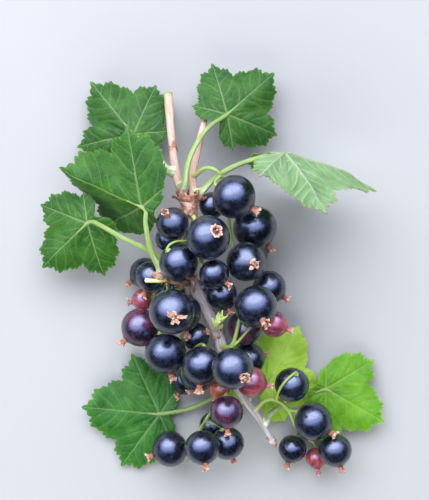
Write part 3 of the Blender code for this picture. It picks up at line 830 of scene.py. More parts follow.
@dataclass(frozen=True)
class DriedFlowerFinish(Finish):
    """The withered flower on a currant: thin dead tissue, dry as paper, with no gloss.

    It is brown where it is thick, at its root, and thins to pale pinkish straw at its torn tips.
    """

    name: str
    root: str
    middle: str
    tip: str
    blotch_mm: float = 0.7
    relief_mm: float = 0.12

    def inputs(self, add: Adder) -> dict:
        """What the shader takes."""
        blotch = add("TexNoise", add("TexCoord"), per_mm(self.blotch_mm), 4.0, 0.65)
        shift = add("MapRange", blotch, 0.3, 0.7, -0.28, 0.28)
        tip = add("Attribute", attribute_name="tip")
        share = add("Math", tip, shift, operation="ADD", use_clamp=True)
        stops = ((0.0, self.root), (0.45, self.middle), (1.0, self.tip))
        return {
            "Base Color": add("ValToRGB", share, stops=stops),
            "Roughness": 0.85,
            "Normal": add("Bump", blotch, 0.5, self.relief_mm * MM),
            "Subsurface Weight": 0.12, "Subsurface Radius": (1.0, 0.5, 0.35), "Subsurface Scale": 0.5 * MM,
        }


RIPE_FLOWER = DriedFlowerFinish("dried_flower_brown", "#35190f", "#a0674f", "#dabba8")
RED_FLOWER = DriedFlowerFinish("dried_flower_pink", "#632d28", "#a96e62", "#cbaea4")


@dataclass(frozen=True)
class StalkFinish(Finish):
    """A green stalk: living tissue with a thin skin, soft to the light, with faint lengthwise lines.

    It is paler where it leaves the wood, and has a little down that catches light.
    """

    name: str
    foot: str
    green: str
    tip: str
    line: str = "#b7c191"
    streak_mm: float = 0.30
    patch_mm: float = 1.1
    relief_mm: float = 0.08

    def inputs(self, add: Adder) -> dict:
        """What the shader takes."""
        grain = add("Attribute", out="Vector", attribute_name="grain")
        streak = add("TexNoise", grain, per_mm(self.streak_mm), 3.0, 0.6)
        patch = add("TexNoise", grain, per_mm(self.patch_mm))
        shift = add("MapRange", patch, 0.3, 0.7, -0.16, 0.16)
        share = add("Attribute", attribute_name="share")
        share = add("Math", share, shift, operation="ADD", use_clamp=True)
        stops = ((0.0, self.foot), (0.22, self.green), (1.0, self.tip))
        ground = add("ValToRGB", share, stops=stops)
        lines = add("MapRange", streak, 0.48, 0.75, 0.0, 0.35)
        return {
            "Base Color": add("Mix", lines, ground, self.line),
            "Roughness": 0.48,
            "Normal": add("Bump", streak, 0.25, self.relief_mm * MM),
            "IOR": 1.42,
            "Subsurface Weight": 0.30, "Subsurface Radius": (0.6, 1.0, 0.25), "Subsurface Scale": 0.8 * MM,
            "Sheen Weight": 0.25, "Sheen Roughness": 0.5, "Sheen Tint": "#eef5d8",
        }


STRIG_FINISH = StalkFinish("strig_green", "#adb083", "#91a44f", "#7f9943")
PETIOLE_FINISH = StalkFinish("leaf_stalk_green", "#cbd1bb", "#82974c", "#6b873a")
# The young shoot's pale lime is its own, made lighter still as painted light over the shade of the currants
# above it.
YOUNG_PAINTED_LIGHT_FINISH = StalkFinish("young_shoot_green", "#f2f9cc", "#e8f6a6", "#cbe874")


@dataclass(frozen=True)
class LeafFinish(Finish):
    """One face of a leaf: a thin green blade, waxy above and dull and downy below.

    Light comes through it, so it glows a little. Its veins are paler than the blade, and the tissue
    between them is mottled in cells about a millimetre wide. The shares are how far the main veins
    and the side ones take the colour of the veins.
    """

    name: str
    dark: str
    light: str
    vein: str
    margin: str
    roughness: float
    main_share: float
    side_share: float
    fleck: str = "#7d5436"
    side_vein_mm: float = 0.20
    cell_mm: float = 1.2
    tone_mm: float = 8.0
    wander_mm: float = 1.6
    bend_mm: float = 1.8
    fleck_mm: float = 2.2
    fine_mm: float = 0.4
    relief_mm: float = 0.9

    def inputs(self, add: Adder) -> dict:
        """What the shader takes. The finest net of veins is coarser than real, so that it shows."""
        rib, phase, pitch, fade, edge = (
            add("Attribute", attribute_name=mark) for mark in ("rib", "phase", "pitch", "fade", "edge")
        )
        blade = add("Attribute", out="Vector", attribute_name="blade")
        tone = add("TexNoise", blade, per_mm(self.tone_mm), 5.0, 0.6)
        tone = add("MapRange", tone, 0.36, 0.64)
        colour = add("Mix", tone, self.dark, self.light)
        wander = add("TexNoise", blade, per_mm(self.wander_mm), out="Color")
        wander = add("VectorMath", wander, (0.5, 0.5, 0.5), operation="SUBTRACT")
        bent = add("VectorMath", wander, (self.bend_mm * MM,) * 3, blade, operation="MULTIPLY_ADD")
        cells = add("TexVoronoi", bent, per_mm(self.cell_mm), 0.9, feature="DISTANCE_TO_EDGE")
        net = add("MapRange", cells, 0.09, 0.0, 0.0, 0.15)
        off = add("Math", phase, 0.5, operation="PINGPONG")
        off = add("Math", off, pitch, operation="MULTIPLY")
        side = add(
            "MapRange", off, 2.4 * self.side_vein_mm, 0.4 * self.side_vein_mm, 0.0, self.side_share,
            interpolation_type="SMOOTHSTEP",
        )
        side = add("Math", side, fade, operation="MULTIPLY")
        main = add("MapRange", rib, 1.6, 0.6, 0.0, self.main_share, interpolation_type="SMOOTHSTEP")
        rim = add("MapRange", edge, 0.96, 1.0, 0.0, 0.5)
        fleck = add("TexNoise", blade, per_mm(self.fleck_mm), 5.0, 0.6)
        fleck = add("Math", edge, 0.05, fleck, operation="MULTIPLY_ADD")
        fleck = add("MapRange", fleck, 0.735, 0.765, 0.0, 0.75)
        for share, over in (
            (net, self.vein), (side, self.vein), (main, self.vein), (rim, self.margin), (fleck, self.fleck),
        ):
            colour = add("Mix", share, colour, over)
        fine = add("TexNoise", blade, per_mm(self.fine_mm), 3.0)
        height = add("Math", cells, 0.14, operation="MINIMUM")
        height = add("Math", fine, 0.08, height, operation="MULTIPLY_ADD")
        return {
            "Base Color": colour,
            "Roughness": add("MapRange", tone, 0.0, 1.0, self.roughness + 0.06, self.roughness - 0.05),
            "Normal": add("Bump", height, 0.42, self.relief_mm * MM),
            "IOR": 1.42, "Specular IOR Level": 0.16,
            "Subsurface Weight": 0.5, "Subsurface Radius": (0.6, 1.0, 0.2), "Subsurface Scale": 1.2 * MM,
        }


class LeafTone(Enum):
    """The greens of a leaf, by its age and the light it grew in: its upper and its lower face. One set
    is lighter than a leaf's own greens, as painted glow of light shining through it.
    """

    MIDDLE = (
        LeafFinish("leaf_middle_upper", "#1d4713", "#36601e", "#6b8553", "#537537", 0.46, 0.75, 0.34),
        LeafFinish("leaf_middle_under", "#496c37", "#5e7d49", "#8a9974", "#698351", 0.62, 0.85, 0.60),
    )
    PALE = (
        LeafFinish("leaf_pale_upper", "#2f5920", "#4d7530", "#809765", "#698645", 0.45, 0.80, 0.40),
        LeafFinish("leaf_pale_under", "#5c7c4e", "#718d62", "#929e87", "#7e6d52", 0.64, 0.85, 0.75),
    )
    YOUNG = (
        LeafFinish("leaf_young_upper", "#497d0e", "#60921b", "#7d9d40", "#88a24c", 0.46, 0.65, 0.25),
        LeafFinish("leaf_young_under", "#6e8b49", "#82985e", "#9da880", "#8b9d69", 0.60, 0.75, 0.40),
    )
    # Painted light: greens lighter than the leaf's own, standing in for light shining through it in the
    # currants' shade.
    SUNLIT = (
        LeafFinish("leaf_sunlit_upper", "#85b02f", "#9ec249", "#afc073", "#b2c270", 0.44, 0.50, 0.18),
        LeafFinish("leaf_sunlit_under", "#85a556", "#9ab16f", "#b2be91", "#9db277", 0.60, 0.75, 0.40),
    )
    DARK = (
        LeafFinish("leaf_dark_upper", "#1d4f12", "#356a22", "#65854f", "#4f733a", 0.44, 0.70, 0.36),
        LeafFinish("leaf_dark_under", "#446935", "#597a46", "#84986d", "#63804d", 0.62, 0.80, 0.50),
    )


@dataclass(frozen=True)
class BarkFinish(Finish):
    """Young bark: a thin dry skin over green wood, tan at the shoots and grey where it is older.

    It cracks along the twig as it swells, so it is streaked lengthwise, and it is dotted with small
    pale breathing pores.
    """

    name: str
    tan: str
    brown: str
    grey: str
    pale: str
    pore: str = "#b2a494"
    crack: str = "#483428"
    streak_mm: float = 0.55
    blotch_mm: float = 3.0
    pore_mm: float = 1.0
    relief_mm: float = 0.3

    def inputs(self, add: Adder) -> dict:
        """What the shader takes."""
        grain = add("Attribute", out="Vector", attribute_name="grain")
        streak = add("TexNoise", grain, per_mm(self.streak_mm), 5.0, 0.65)
        share = add("MapRange", streak, 0.35, 0.65)
        young = add("Mix", share, self.brown, self.tan)
        old = add("Mix", share, self.grey, self.pale)
        blotch = add("TexNoise", add("TexCoord"), per_mm(self.blotch_mm), 3.0)
        shift = add("MapRange", blotch, 0.3, 0.7, -0.35, 0.35)
        age = add("Attribute", attribute_name="age")
        aged = add("Math", age, shift, operation="ADD", use_clamp=True)
        ground = add("Mix", aged, young, old)
        pores = add("TexVoronoi", grain, per_mm(self.pore_mm))
        pores = add("MapRange", pores, 0.20, 0.12, 0.0, 0.75)
        dotted = add("Mix", pores, ground, self.pore)
        crack = add("MapRange", streak, 0.40, 0.30, 0.0, 0.7)
        height = add("Math", pores, 0.5, streak, operation="MULTIPLY_ADD")
        return {
            "Base Color": add("Mix", crack, dotted, self.crack),
            "Roughness": 0.78,
            "Normal": add("Bump", height, 0.8, self.relief_mm * MM),
        }


BARK = BarkFinish("twig_bark", "#d8baa6", "#aa7c63", "#9d959b", "#cbc3c8")
FLAKE = BarkFinish("peeling_bark", "#bc8a70", "#966348", "#8b5a44", "#c69b84")


@dataclass(frozen=True)
class CutWoodFinish(Finish):
    """A fresh cut through the twig: pale damp wood round a darker pith, with a green rim."""

    name: str = "cut_wood"
    stops: tuple[tuple[float, str], ...] = (
        (0.0, "#7c6646"), (0.25, "#927d59"), (0.38, "#bdb493"), (0.80, "#b7ae85"), (0.94, "#7e9149"),
    )
    fibre_mm: float = 0.25
    relief_mm: float = 0.1

    def inputs(self, add: Adder) -> dict:
        """What the shader takes."""
        fibre = add("TexNoise", add("TexCoord"), per_mm(self.fibre_mm), 3.0)
        shift = add("MapRange", fibre, 0.0, 1.0, -0.08, 0.08)
        rim = add("Attribute", attribute_name="rim")
        share = add("Math", rim, shift, operation="ADD", use_clamp=True)
        return {
            "Base Color": add("ValToRGB", share, stops=self.stops),
            "Roughness": 0.6,
            "Normal": add("Bump", fibre, 0.5, self.relief_mm * MM),
            "Subsurface Weight": 0.15, "Subsurface Scale": 0.6 * MM,
        }


@dataclass(frozen=True)
class PaleFloorFinish(Finish):
    """A matt painted board under the sprig, with a very faint unevenness.

    Its grey shows as almost white under the strong lamps.
    """

    name: str = "pale_floor"
    colour: str = "#9fa0a0"
    shade: str = "#9a9b9c"
    haze_mm: float = 60.0

    def inputs(self, add: Adder) -> dict:
        """What the shader takes."""
        haze = add("TexNoise", add("TexCoord"), per_mm(self.haze_mm), 3.0)
        colour = add("Mix", haze, self.colour, self.shade)
        return {"Base Color": colour, "Roughness": 0.8, "Specular IOR Level": 0.2}


@dataclass(frozen=True)
class FlowerShape:
    """How a dried flower's sepals stand: angles in degrees, lengths in millimetres.

    A curl below 0 turns them inwards, and pale is how near their roots are to the tone of the tips.
    Flat is by how much of its length one that stands along the sprig is shorter, tube how high they
    start, and petal the length of the petals inside them.
    """

    lean: float
    lean_spread: float
    curl: float
    curl_spread: float
    length: float
    width: float
    crumple: float
    inner_lean: float
    tube: float
    pale: float = 0.32
    flat: float = 0.0
    petal: float = 1.1


class FlowerForm(Enum):
    """The forms that the dried flowers take.

    A ring has rolled its sepals into a thick torn rim, a knob has rolled them inwards, a star has
    spread them, and horns stand long and upright.
    """

    TUFT = FlowerShape(14.0, 14.0, 22.0, 50.0, 1.9, 1.45, 0.34, 6.0, 0.95)
    STAR = FlowerShape(62.0, 12.0, 20.0, 40.0, 2.6, 1.40, 0.50, 44.0, 0.60, 0.62, 0.48, 0.75)
    RING = FlowerShape(0.0, 0.0, 0.0, 0.0, 0.0, 0.0, 0.0, 4.0, 0.55)
    KNOB = FlowerShape(56.0, 10.0, -115.0, 30.0, 2.4, 1.75, 0.50, 10.0, 0.70, 0.50)
    HORNS = FlowerShape(8.0, 8.0, 6.0, 26.0, 3.3, 1.9, 0.30, 4.0, 1.2, 0.40)


FLOWER_FORMS = {
    "berry_upper_middle": FlowerForm.RING, "berry_under_right": FlowerForm.RING,
    "berry_lower_front": FlowerForm.KNOB, "berry_centre_right": FlowerForm.KNOB,
    "berry_big_star": FlowerForm.STAR, "berry_under_left": FlowerForm.STAR,
    "berry_upper_left": FlowerForm.HORNS,
}


@dataclass
class Currant:
    """One currant: its skin, its dried flower, and the cap that its stalk ends in.

    The middle, the radius and the axis, which points to the flower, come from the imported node.

    NECK has the rings of a flower's neck: how far out beside the neck, how far up as a share of the
    tube and in millimetres more, how torn, and how near the tips. RIM has those of a rolled rim: how
    far out and up in millimetres on a big currant, how torn, and how near the tips. CAP has those of
    the stalk's cap: how far out and down in millimetres, how starred, and the tone along the stalk.
    """

    NECK = (
        (1.18, 0.0, -0.15, 0.0, 0.10), (0.98, 0.0, 0.18, 0.0, 0.22), (0.88, 0.6, 0.0, 0.1, 0.35),
        (0.98, 1.0, 0.0, 0.3, 0.45), (0.80, 1.0, 0.0, 0.3, 0.30), (0.66, 0.7, 0.0, 0.1, 0.05),
        (0.45, 0.4, 0.0, 0.0, 0.0), (0.0, 0.35, 0.0, 0.0, 0.0),
    )
    RIM = (
        (1.20, -0.15, 0.0, 0.10), (1.02, 0.18, 0.0, 0.25), (1.12, 0.45, 0.1, 0.40), (1.40, 0.62, 0.4, 0.55),
        (1.66, 0.66, 0.8, 0.70), (1.84, 0.78, 1.0, 0.85), (1.86, 0.96, 1.0, 0.95), (1.70, 1.08, 1.0, 0.90),
        (1.46, 1.10, 0.9, 0.75), (1.22, 1.00, 0.7, 0.55), (1.02, 0.82, 0.5, 0.35), (0.86, 0.56, 0.2, 0.10),
        (0.72, 0.26, 0.0, 0.0), (0.40, 0.05, 0.0, 0.0), (0.0, 0.0, 0.0, 0.0),
    )
    CAP = (
        (1.05, -0.30, 0.22, 0.5), (0.95, -0.02, 0.22, 0.45), (0.62, 0.16, 0.1, 0.5),
        (0.50, 0.40, 0.0, 0.6), (0.47, 0.62, 0.0, 0.6), (0.0, 0.62, 0.0, 0.6),
    )
    FIT_REACHES = (0.35, 0.2, 0.1, 0.06, 0.04, 0.04)
    STANDS_OUT = 1.08
    BIG_RADIUS = 6.3 * MM

    node: str
    ripeness: Ripeness
    length_ratio: float = 0.97
    rings: int = 44
    sides: int = 72
    neck_mm: float = 1.0
    shoulder_mm: float = 0.35
    dimple_mm: float = 0.22
    sepals: int = 5
    stalk_gap_mm: float = 0.3
    middle: Array = field(init=False)
    radius: float = field(init=False)
    axis: Array = field(init=False)
    side: Array = field(init=False)
    over: Array = field(init=False)

    def __post_init__(self) -> None:
        """Fits a ball to the node, leaving out the flower that stands out of it."""
        vertices = read_rows(frame["nodes"][self.node].data.vertices, "co")
        points = kept = np.unique(vertices.round(7), axis=0)
        for reach in self.FIT_REACHES:
            rows = np.column_stack([2.0 * kept, np.ones(len(kept))])
            found = np.linalg.lstsq(rows, (kept ** 2).sum(axis=1), rcond=None)[0]
            self.middle = found[:3]
            self.radius = math.sqrt(found[3] + self.middle @ self.middle)
            off = np.linalg.norm(points - self.middle, axis=1) / self.radius
            kept = points[np.abs(off - 1.0) < reach]
        self.axis = unit(points[off > self.STANDS_OUT].mean(axis=0) - self.middle)
        level = UP if abs(self.axis[2]) < 0.9 else np.array([1.0, 0.0, 0.0])
        self.side = unit(np.cross(self.axis, level))
        self.over = np.cross(self.axis, self.side)

    @property
    def stalk_end(self) -> Array:
        """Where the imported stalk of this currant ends."""
        return self.middle - self.axis * (self.radius * self.length_ratio + self.stalk_gap_mm * MM)

    def _place(self, local: Array) -> Array:
        """Points given round the currant's own axis, in the frame of the sprig."""
        return in_frame(local, self.middle, self.side, self.over, self.axis)

    def _skin(self, draft: Draft) -> None:
        """Adds the skin: nearly a ball, drawn out to the neck at one end and dimpled at the other."""
        polar, turn = np.meshgrid(np.linspace(0.0, math.pi, self.rings), turns(self.sides), indexing="ij")
        neck = self.neck_mm * MM
        ring = np.sin(polar) * self.radius
        height = np.cos(polar) * self.radius * self.length_ratio
        shoulder = np.exp(-((ring / (1.9 * neck)) ** 2)) * (polar < 1.0)
        height = height + self.shoulder_mm * MM * shoulder
        dimple = np.exp(-((ring / (0.9 * MM)) ** 2)) * (polar > 2.0)
        height = height + self.dimple_mm * MM * dimple
        local = around(ring, turn, height)
        uneven = ripple(unit(local), 1.5, self.node + "skin") * 0.004
        uneven = uneven + ripple(unit(local), 0.55, self.node + "soft") * 0.0016
        lines = 10 + int(draws(self.node + "veins").integers(0, 3))
        ribs = np.maximum(np.cos(lines * turn + 0.6 * np.sin(2.0 * polar)), 0.0) ** 10
        local = local * (1.0 + uneven - 0.0016 * ribs)[..., None]
        scar = smooth_step(1.5 * neck, neck, ring) * (polar < 1.0) * 0.7
        meridian = ribs * np.sin(polar) ** 0.7
        faces = grid_faces(self.rings, self.sides)
        draft.add(self._place(local), faces, meridian=meridian.ravel(), scar=scar.ravel())

    def _turned(self, draft: Draft, profile: list, columns: int, uneven: float) -> None:
        """Adds a torn, wrinkled part of the flower that is turned round the currant's axis.

        Args:
            draft: The piece that it goes into.
            profile: For each ring its radius and height in millimetres, how torn it is, and how
                far it is towards the tips, both from 0 to 1.
            columns: How many points a ring has.
            uneven: How far the torn rings wander, in millimetres.
        """
        radius, height, torn, tip = (np.array(column)[:, None] for column in zip(*profile))
        turn = turns(columns)
        fine, broad = draws(self.node + "tear").uniform(0.0, 6.0, 2)
        ring = radius * (1.0 + 0.03 * np.cos(11.0 * turn + fine) * (radius > 0.5))
        ring = ring + torn * 0.04 * np.cos(5.0 * turn + broad)
        lift = height + torn * 0.10 * np.cos(5.0 * turn + broad + 0.5)
        smooth = around(ring, turn, lift)
        ring = ring + ripple(smooth, 1.0, self.node + "aside") * torn * uneven
        lift = lift + ripple(smooth, 0.8, self.node + "upwards") * torn * uneven
        tips = np.broadcast_to(tip, ring.shape).ravel()
        local = around(ring, turn, lift) * MM
        draft.add(self._place(local), grid_faces(len(profile), columns), 1, tip=tips)

    def _flower(self, draft: Draft) -> None:
        """Adds the dried flower: its neck, its sepals or rolled rim, its petals and its style."""
        form = FLOWER_FORMS.get(self.node, FlowerForm.TUFT).value
        size = float(np.clip(self.radius / self.BIG_RADIUS, 0.75, 1.06))
        base = self.radius * self.length_ratio / MM + 0.12
        if form.length:
            neck = self.neck_mm * size
            rings = [
                (out * neck, base + share * form.tube + lift, torn, tip)
                for out, share, lift, torn, tip in self.NECK
            ]
            self._turned(draft, rings, 32, 0.16)
            self._sepals(draft, form, size, base + 0.9 * form.tube)
        else:
            rings = [(out * size, base + lift * size, torn, tip) for out, lift, torn, tip in self.RIM]
            self._turned(draft, rings, 64, 0.19)
        self._style(draft, size, base)

    def _sepals(self, draft: Draft, form: FlowerShape, size: float, top: float) -> None:
        """Adds the five withered sepals and the smaller petals inside them.

        Args:
            draft: The piece that they go into.
            form: How they stand.
            size: The flower's size beside that of a big currant's.
            top: How high they start on the axis, in millimetres.
        """
        rng = draws(self.node + "flower")
        base = self.middle + self.axis * top * MM
        for number in range(self.sepals):
            turn = FULL_TURN * (number + rng.uniform(-0.2, 0.2)) / self.sepals
            out = outward(self.side, self.over, turn)
            sepal = Strip(
                length=form.length * size * rng.uniform(0.65, 1.2) * (1.0 - form.flat * out[1] ** 2),
                width=form.width * size * rng.uniform(0.7, 1.1),
                lean=form.lean + rng.uniform(-1.0, 1.0) * form.lean_spread,
                curl=form.curl + rng.uniform(-1.0, 1.0) * form.curl_spread,
                cup=rng.uniform(0.2, 0.9), root_width=0.8, tip_power=rng.uniform(0.45, 0.8),
                thickness=0.17, crumple=form.crumple, crease=0.95, rows=11, columns=9,
            )
            root = base + out * 0.80 * self.neck_mm * size * MM
            name, yaw = f"{self.node}{number}", rng.uniform(-22.0, 22.0)
            places, faces, tip = sepal.build(root, out, self.axis, name, yaw)
            draft.add(places, faces, 1, tip=form.pale + (0.94 - form.pale) * tip ** 1.4)
        petals = self.sepals + 1
        for number in range(petals):
            turn = FULL_TURN * (number + 0.5 + rng.uniform(-0.3, 0.3)) / petals
            out = outward(self.side, self.over, turn)
            petal = Strip(
                length=form.petal * size * rng.uniform(0.7, 1.3), width=0.6 * size,
                lean=form.inner_lean + rng.uniform(-14.0, 14.0), curl=rng.uniform(-40.0, 30.0), cup=0.6,
                thickness=0.13, crumple=0.22, crease=0.7, rows=7, columns=5,
            )
            root = base + out * 0.45 * self.neck_mm * size * MM
            name, yaw = f"{self.node}inner{number}", rng.uniform(-40.0, 40.0)
            places, faces, tip = petal.build(root, out, self.axis, name, yaw)
            draft.add(places, faces, 1, tip=0.5 + 0.5 * tip)

    def _style(self, draft: Draft, size: float, base: float) -> None:
        """Adds the pale dry style in the middle of the flower.

        Args:
            draft: The piece that it goes into.
            size: The flower's size beside that of a big currant's.
            base: How high the flower starts on the axis, in millimetres.
        """
        rng = draws(self.node + "style")
        foot = self.middle + self.axis * (base + 0.02) * MM
        bend = unit(self.axis + self.side * rng.uniform(-0.35, 0.35) + self.over * rng.uniform(-0.35, 0.35))
        path = np.array([foot, foot + self.axis * 0.5 * MM, foot + bend * 1.35 * size * MM])
        path = resample(path, 0.2 * MM)
        radii = spread(len(path), (0.20, 0.13, 0.22), (0.0, 0.7, 1.0)) * MM
        places, faces, far, _ = Tube(path, radii, 8).build()
        draft.add(places, faces, 1, tip=0.55 + 0.45 * far / far.max())

    def _cap(self, draft: Draft) -> None:
        """Adds the green cap where the stalk meets the skin."""
        out, down, star, share = (np.array(column)[:, None] for column in zip(*self.CAP))
        turn = turns(20)
        ring = out * (1.0 + star * np.cos(5.0 * turn)) * MM
        local = around(ring, turn, -(self.radius * self.length_ratio + down * MM - 0.1 * MM))
        faces = [face[::-1] for face in grid_faces(*ring.shape)]
        shares = np.broadcast_to(share, ring.shape).ravel()
        draft.add(self._place(local), faces, 2, share=shares, grain=local.reshape(-1, 3))

    def build(self) -> None:
        """Makes the currant as one piece."""
        draft = Draft()
        self._skin(draft)
        self._flower(draft)
        self._cap(draft)
        unripe = self.ripeness in (Ripeness.RED, Ripeness.ORANGE)
        finishes = (SKINS[self.ripeness], RED_FLOWER if unripe else RIPE_FLOWER, STRIG_FINISH)
        name = self.node.replace("berry", "currant")
        thing = draft.piece(name, *(finish.material() for finish in finishes))
        settle_piece(thing, self.ripeness.value, self.node)


@dataclass
class Strig:
    """One strig: the main stalk and a short stalk to each currant, in one downy green skin."""

    node: str
    foot: Triple
    base_mm: float = 0.72
    tip_mm: float = 0.46
    stalk_mm: float = 0.42
    sink_mm: float = 0.7
    voxel_mm: float = 0.15
    reach: float = 0.75 * MM
    pale_reach: float = 10.0 * MM
    most_stubs: int = 3

    def build(self, currants: list[Currant], wood: BVHTree) -> None:
        """Makes the strig.

        Args:
            currants: All the currants, of which it takes those whose stalks are its own.
            wood: The twig's surface, which its foot is drawn into.
        """
        lines = StalkLines(self.node, self.foot)
        ends = [currant.stalk_end for currant in currants]
        mine = [end for end in ends if nearest_to(lines.places, end)[1] < self.reach]
        mine.sort(key=lambda end: -lines.walked[nearest_to(lines.places, end)[0]])
        main = lines.line_to(mine[0])
        main = np.concatenate([[into_wood(wood, main[0], self.sink_mm)], main])
        main = relax(resample(main, lines.STEP), 2)
        radii = (self.base_mm + (self.tip_mm - self.base_mm) * np.linspace(0.0, 1.0, len(main))) * MM
        radii[:3] = radii[:3] * np.array([1.7, 1.35, 1.1])
        radii[-2:] = self.stalk_mm * MM * np.array([1.0, 1.1])
        tubes = [(main, radii)] + [self._stalk(lines.line_to(end)) for end in mine[1:]]
        for _ in range(self.most_stubs):
            end = lines.stub()
            if end is None:
                break
            tubes.append(self._stalk(lines.line_to(end)))
        skin = FusedTubes(self.node, STRIG_FINISH.material(), tubes, 14, self.voxel_mm, 4)
        share = np.clip(skin.far / self.pale_reach + (skin.numbers > 0), 0.0, 1.0)
        mark_mesh(skin.thing.data, share=share, grain=skin.grain(0.07))
        settle_piece(skin.thing, "strig", self.node)

    def _stalk(self, path: Array) -> tuple[Array, Array]:
        """A currant's stalk, swollen a little where it leaves the main one and where it ends."""
        radii = np.full(len(path), self.stalk_mm * MM)
        radii[:2] = radii[:2] * 1.3
        radii[-1] = radii[-1] * 1.15
        return path, radii


@dataclass
class Leaf:
    """A leaf: a lobed and toothed blade with veins, and its grooved stalk. Its sizes are millimetres.

    The blade starts at the stalk's end, runs one way and looks another. fold is how far each half
    leans down from the midrib, in degrees, and droop how far the tip hangs, as a share of the reach.
    """

    name: str
    start: Triple
    runs: Triple
    looks: Triple
    reach: float
    fold: float
    droop: float
    wave: float
    base_lobes: float
    foot: Triple
    tone: LeafTone
    side_lobe_turn: float = 60.0
    side_lobe_length: float = 0.84
    base_lobe_turn: float = 120.0
    lobe_half_width: float = 36.0
    lobe_fall: float = 0.31
    lobe_power: float = 1.35
    notch_width: float = 38.0
    notch_reach: float = 0.16
    tooth_turn: float = 15.0
    tooth_out: float = 0.03
    tooth_in: float = 0.05
    small_tooth: float = 0.045
    small_teeth: int = 3
    thickness: float = 0.34
    side_pitch: float = 0.155
    phase_start: float = 40.0
    rib_half: float = 0.36
    quilt: float = 0.34
    rays: int = 432
    rings: int = 30
    stalk_base: float = 0.95
    stalk_tip: float = 0.62
    pale_reach: float = 30.0

    def edge(self, turn: Array) -> Array:
        """Distance from the stalk's end to the toothed edge, over the reach, at angles in degrees."""
        reach = np.zeros_like(turn)
        for middle, length in (
            (0.0, 1.0), (self.side_lobe_turn, self.side_lobe_length), (self.base_lobe_turn, self.base_lobes),
        ):
            off = np.abs(np.abs(turn) - middle) / self.lobe_half_width
            reach = np.maximum(reach, length * (1.0 - self.lobe_fall * off ** self.lobe_power))
        opening = smooth_step(0.0, self.notch_width, 180.0 - np.abs(turn))
        smooth = self.notch_reach + (reach - self.notch_reach) * opening
        count = int(360 / self.tooth_turn)
        height = draws(self.name + "teeth").uniform(0.75, 1.2, count + 1)
        step = turn / self.tooth_turn
        number = np.round(step).astype(int)
        peak = 1.0 - 2.0 * np.abs(step - number)
        large = -self.tooth_in + (self.tooth_in + self.tooth_out) * peak * height[number % (count + 1)]
        lean = np.sign(self._off_lobe(turn)[0])
        share = (turn * self.small_teeth / self.tooth_turn + 0.5) % 1.0
        small = np.minimum(share / (0.5 + 0.28 * lean), (1.0 - share) / (0.5 - 0.28 * lean))
        return smooth * (1.0 + (large + self.small_tooth * (small - 0.5)) * opening)

    def _off_lobe(self, turn: Array) -> tuple[Array, Array, Array]:
        """The angle from each direction to the nearest lobe's rib, that rib's own, and its length."""
        side, base = self.side_lobe_turn, self.base_lobe_turn
        ribs = np.array([0.0, side, -side, base, -base])
        lengths = np.array([1.0] + [self.side_lobe_length] * 2 + [self.base_lobes] * 2)
        nearest = np.abs(turn[..., None] - ribs).argmin(axis=-1)
        return turn - ribs[nearest], ribs[nearest], lengths[nearest]

    def _frame(self) -> tuple[Array, Array, Array]:
        """The ways along the midrib, to the side and up from the blade."""
        along = unit(np.array(self.runs))
        up = np.array(self.looks, dtype=float)
        up = unit(up - along * np.dot(up, along))
        return along, np.cross(up, along), up

    def _surface(self, turn: Array, distance: Array) -> Array:
        """Points of the blade's middle surface, in millimetres, by angle and distance."""
        along, side, up = self._frame()
        angle = np.radians(turn)
        across = distance * np.sin(angle)
        lean = math.radians(self.fold)
        share = distance / self.reach
        lift = -np.abs(across) * math.sin(lean)
        lift = lift - self.droop * self.reach * share ** 2
        lift = lift + self.wave * self.reach * share ** 2 * np.cos(np.radians(6.0 * turn))
        local = np.stack([distance * np.cos(angle), across * math.cos(lean), lift], axis=-1)
        return in_frame(local, np.array(self.start), along, side, up)

    def _blade(self, draft: Draft) -> None:
        """Adds the blade: two faces with their veins in relief, joined round the edge."""
        turn_line = -180.0 + 360.0 * np.arange(self.rays) / self.rays
        shares = 1.0 - (1.0 - np.linspace(0.0, 1.0, self.rings + 1)[1:]) ** 1.25
        turn, share = np.meshgrid(turn_line, shares, indexing="xy")
        rim = self.edge(turn_line)
        calm = np.convolve(np.tile(rim, 3), np.ones(19) / 19.0, "same")[self.rays:2 * self.rays]
        teeth = smooth_step(0.80, 1.0, share)
        distance = self.reach * (calm * (1.0 - teeth) + rim * teeth) * share
        # Where each point lies beside the rib of its lobe, and on which side vein.
        off, rib_turn, lobe = self._off_lobe(turn)
        forward = distance * np.cos(np.radians(off))
        aside = np.abs(distance * np.sin(np.radians(off)))
        along_rib = np.clip(forward / (self.reach * lobe), 0.0, 1.0)
        pitch = self.side_pitch * self.reach
        phase = (forward - (1.0 - 0.3 * along_rib) * aside - 0.012 * aside ** 2) / pitch
        phase = phase + 0.22 * np.sin(2.0 * forward / pitch + rib_turn) + 0.5 * (off > 0.0)
        half = self.rib_half * (1.0 - 0.75 * along_rib) * self.reach / 26.0
        rib = aside / np.maximum(half, 0.05)
        between = 1.0 - smooth_step(19.0, 29.0, np.abs(off)) * (np.abs(turn) < 140.0)
        fade = between * smooth_step(0.04, 0.16, share) * (1.0 - 0.45 * along_rib)
        # The relief: tissue that swells between the side veins, a groove over the rib and ridges below.
        near_edge = smooth_step(0.9, 1.0, share)
        swell = np.abs(np.sin(math.pi * phase)) ** 0.7
        quilt = self.quilt * swell * fade * smooth_step(0.2, 2.5, aside) * (1.0 - 0.7 * near_edge)
        groove = np.exp(-(aside / 0.55) ** 2) * (1.0 - 0.5 * share)
        middle = self._surface(turn, distance)
        crinkle = ripple(middle, 10.0, self.name) * 0.45 * share
        crinkle = crinkle + ripple(middle, 3.6, self.name + "fine") * 0.07
        rise = crinkle + quilt - 0.30 * groove
        ridge = np.maximum(1.0 - rib ** 2, 0.0) ** 0.5 * (0.5 - 0.35 * share)
        seam = np.exp(-((np.abs(phase - np.round(phase)) * pitch) / 0.26) ** 2) * 0.22 * fade
        thin = self.thickness * (1.0 - 0.65 * near_edge)
        up = self._frame()[2]
        lifts = (rise + 0.5 * thin, rise - 0.5 * thin - ridge - seam)
        sheets = [middle + up * lift[..., None] for lift in lifts]
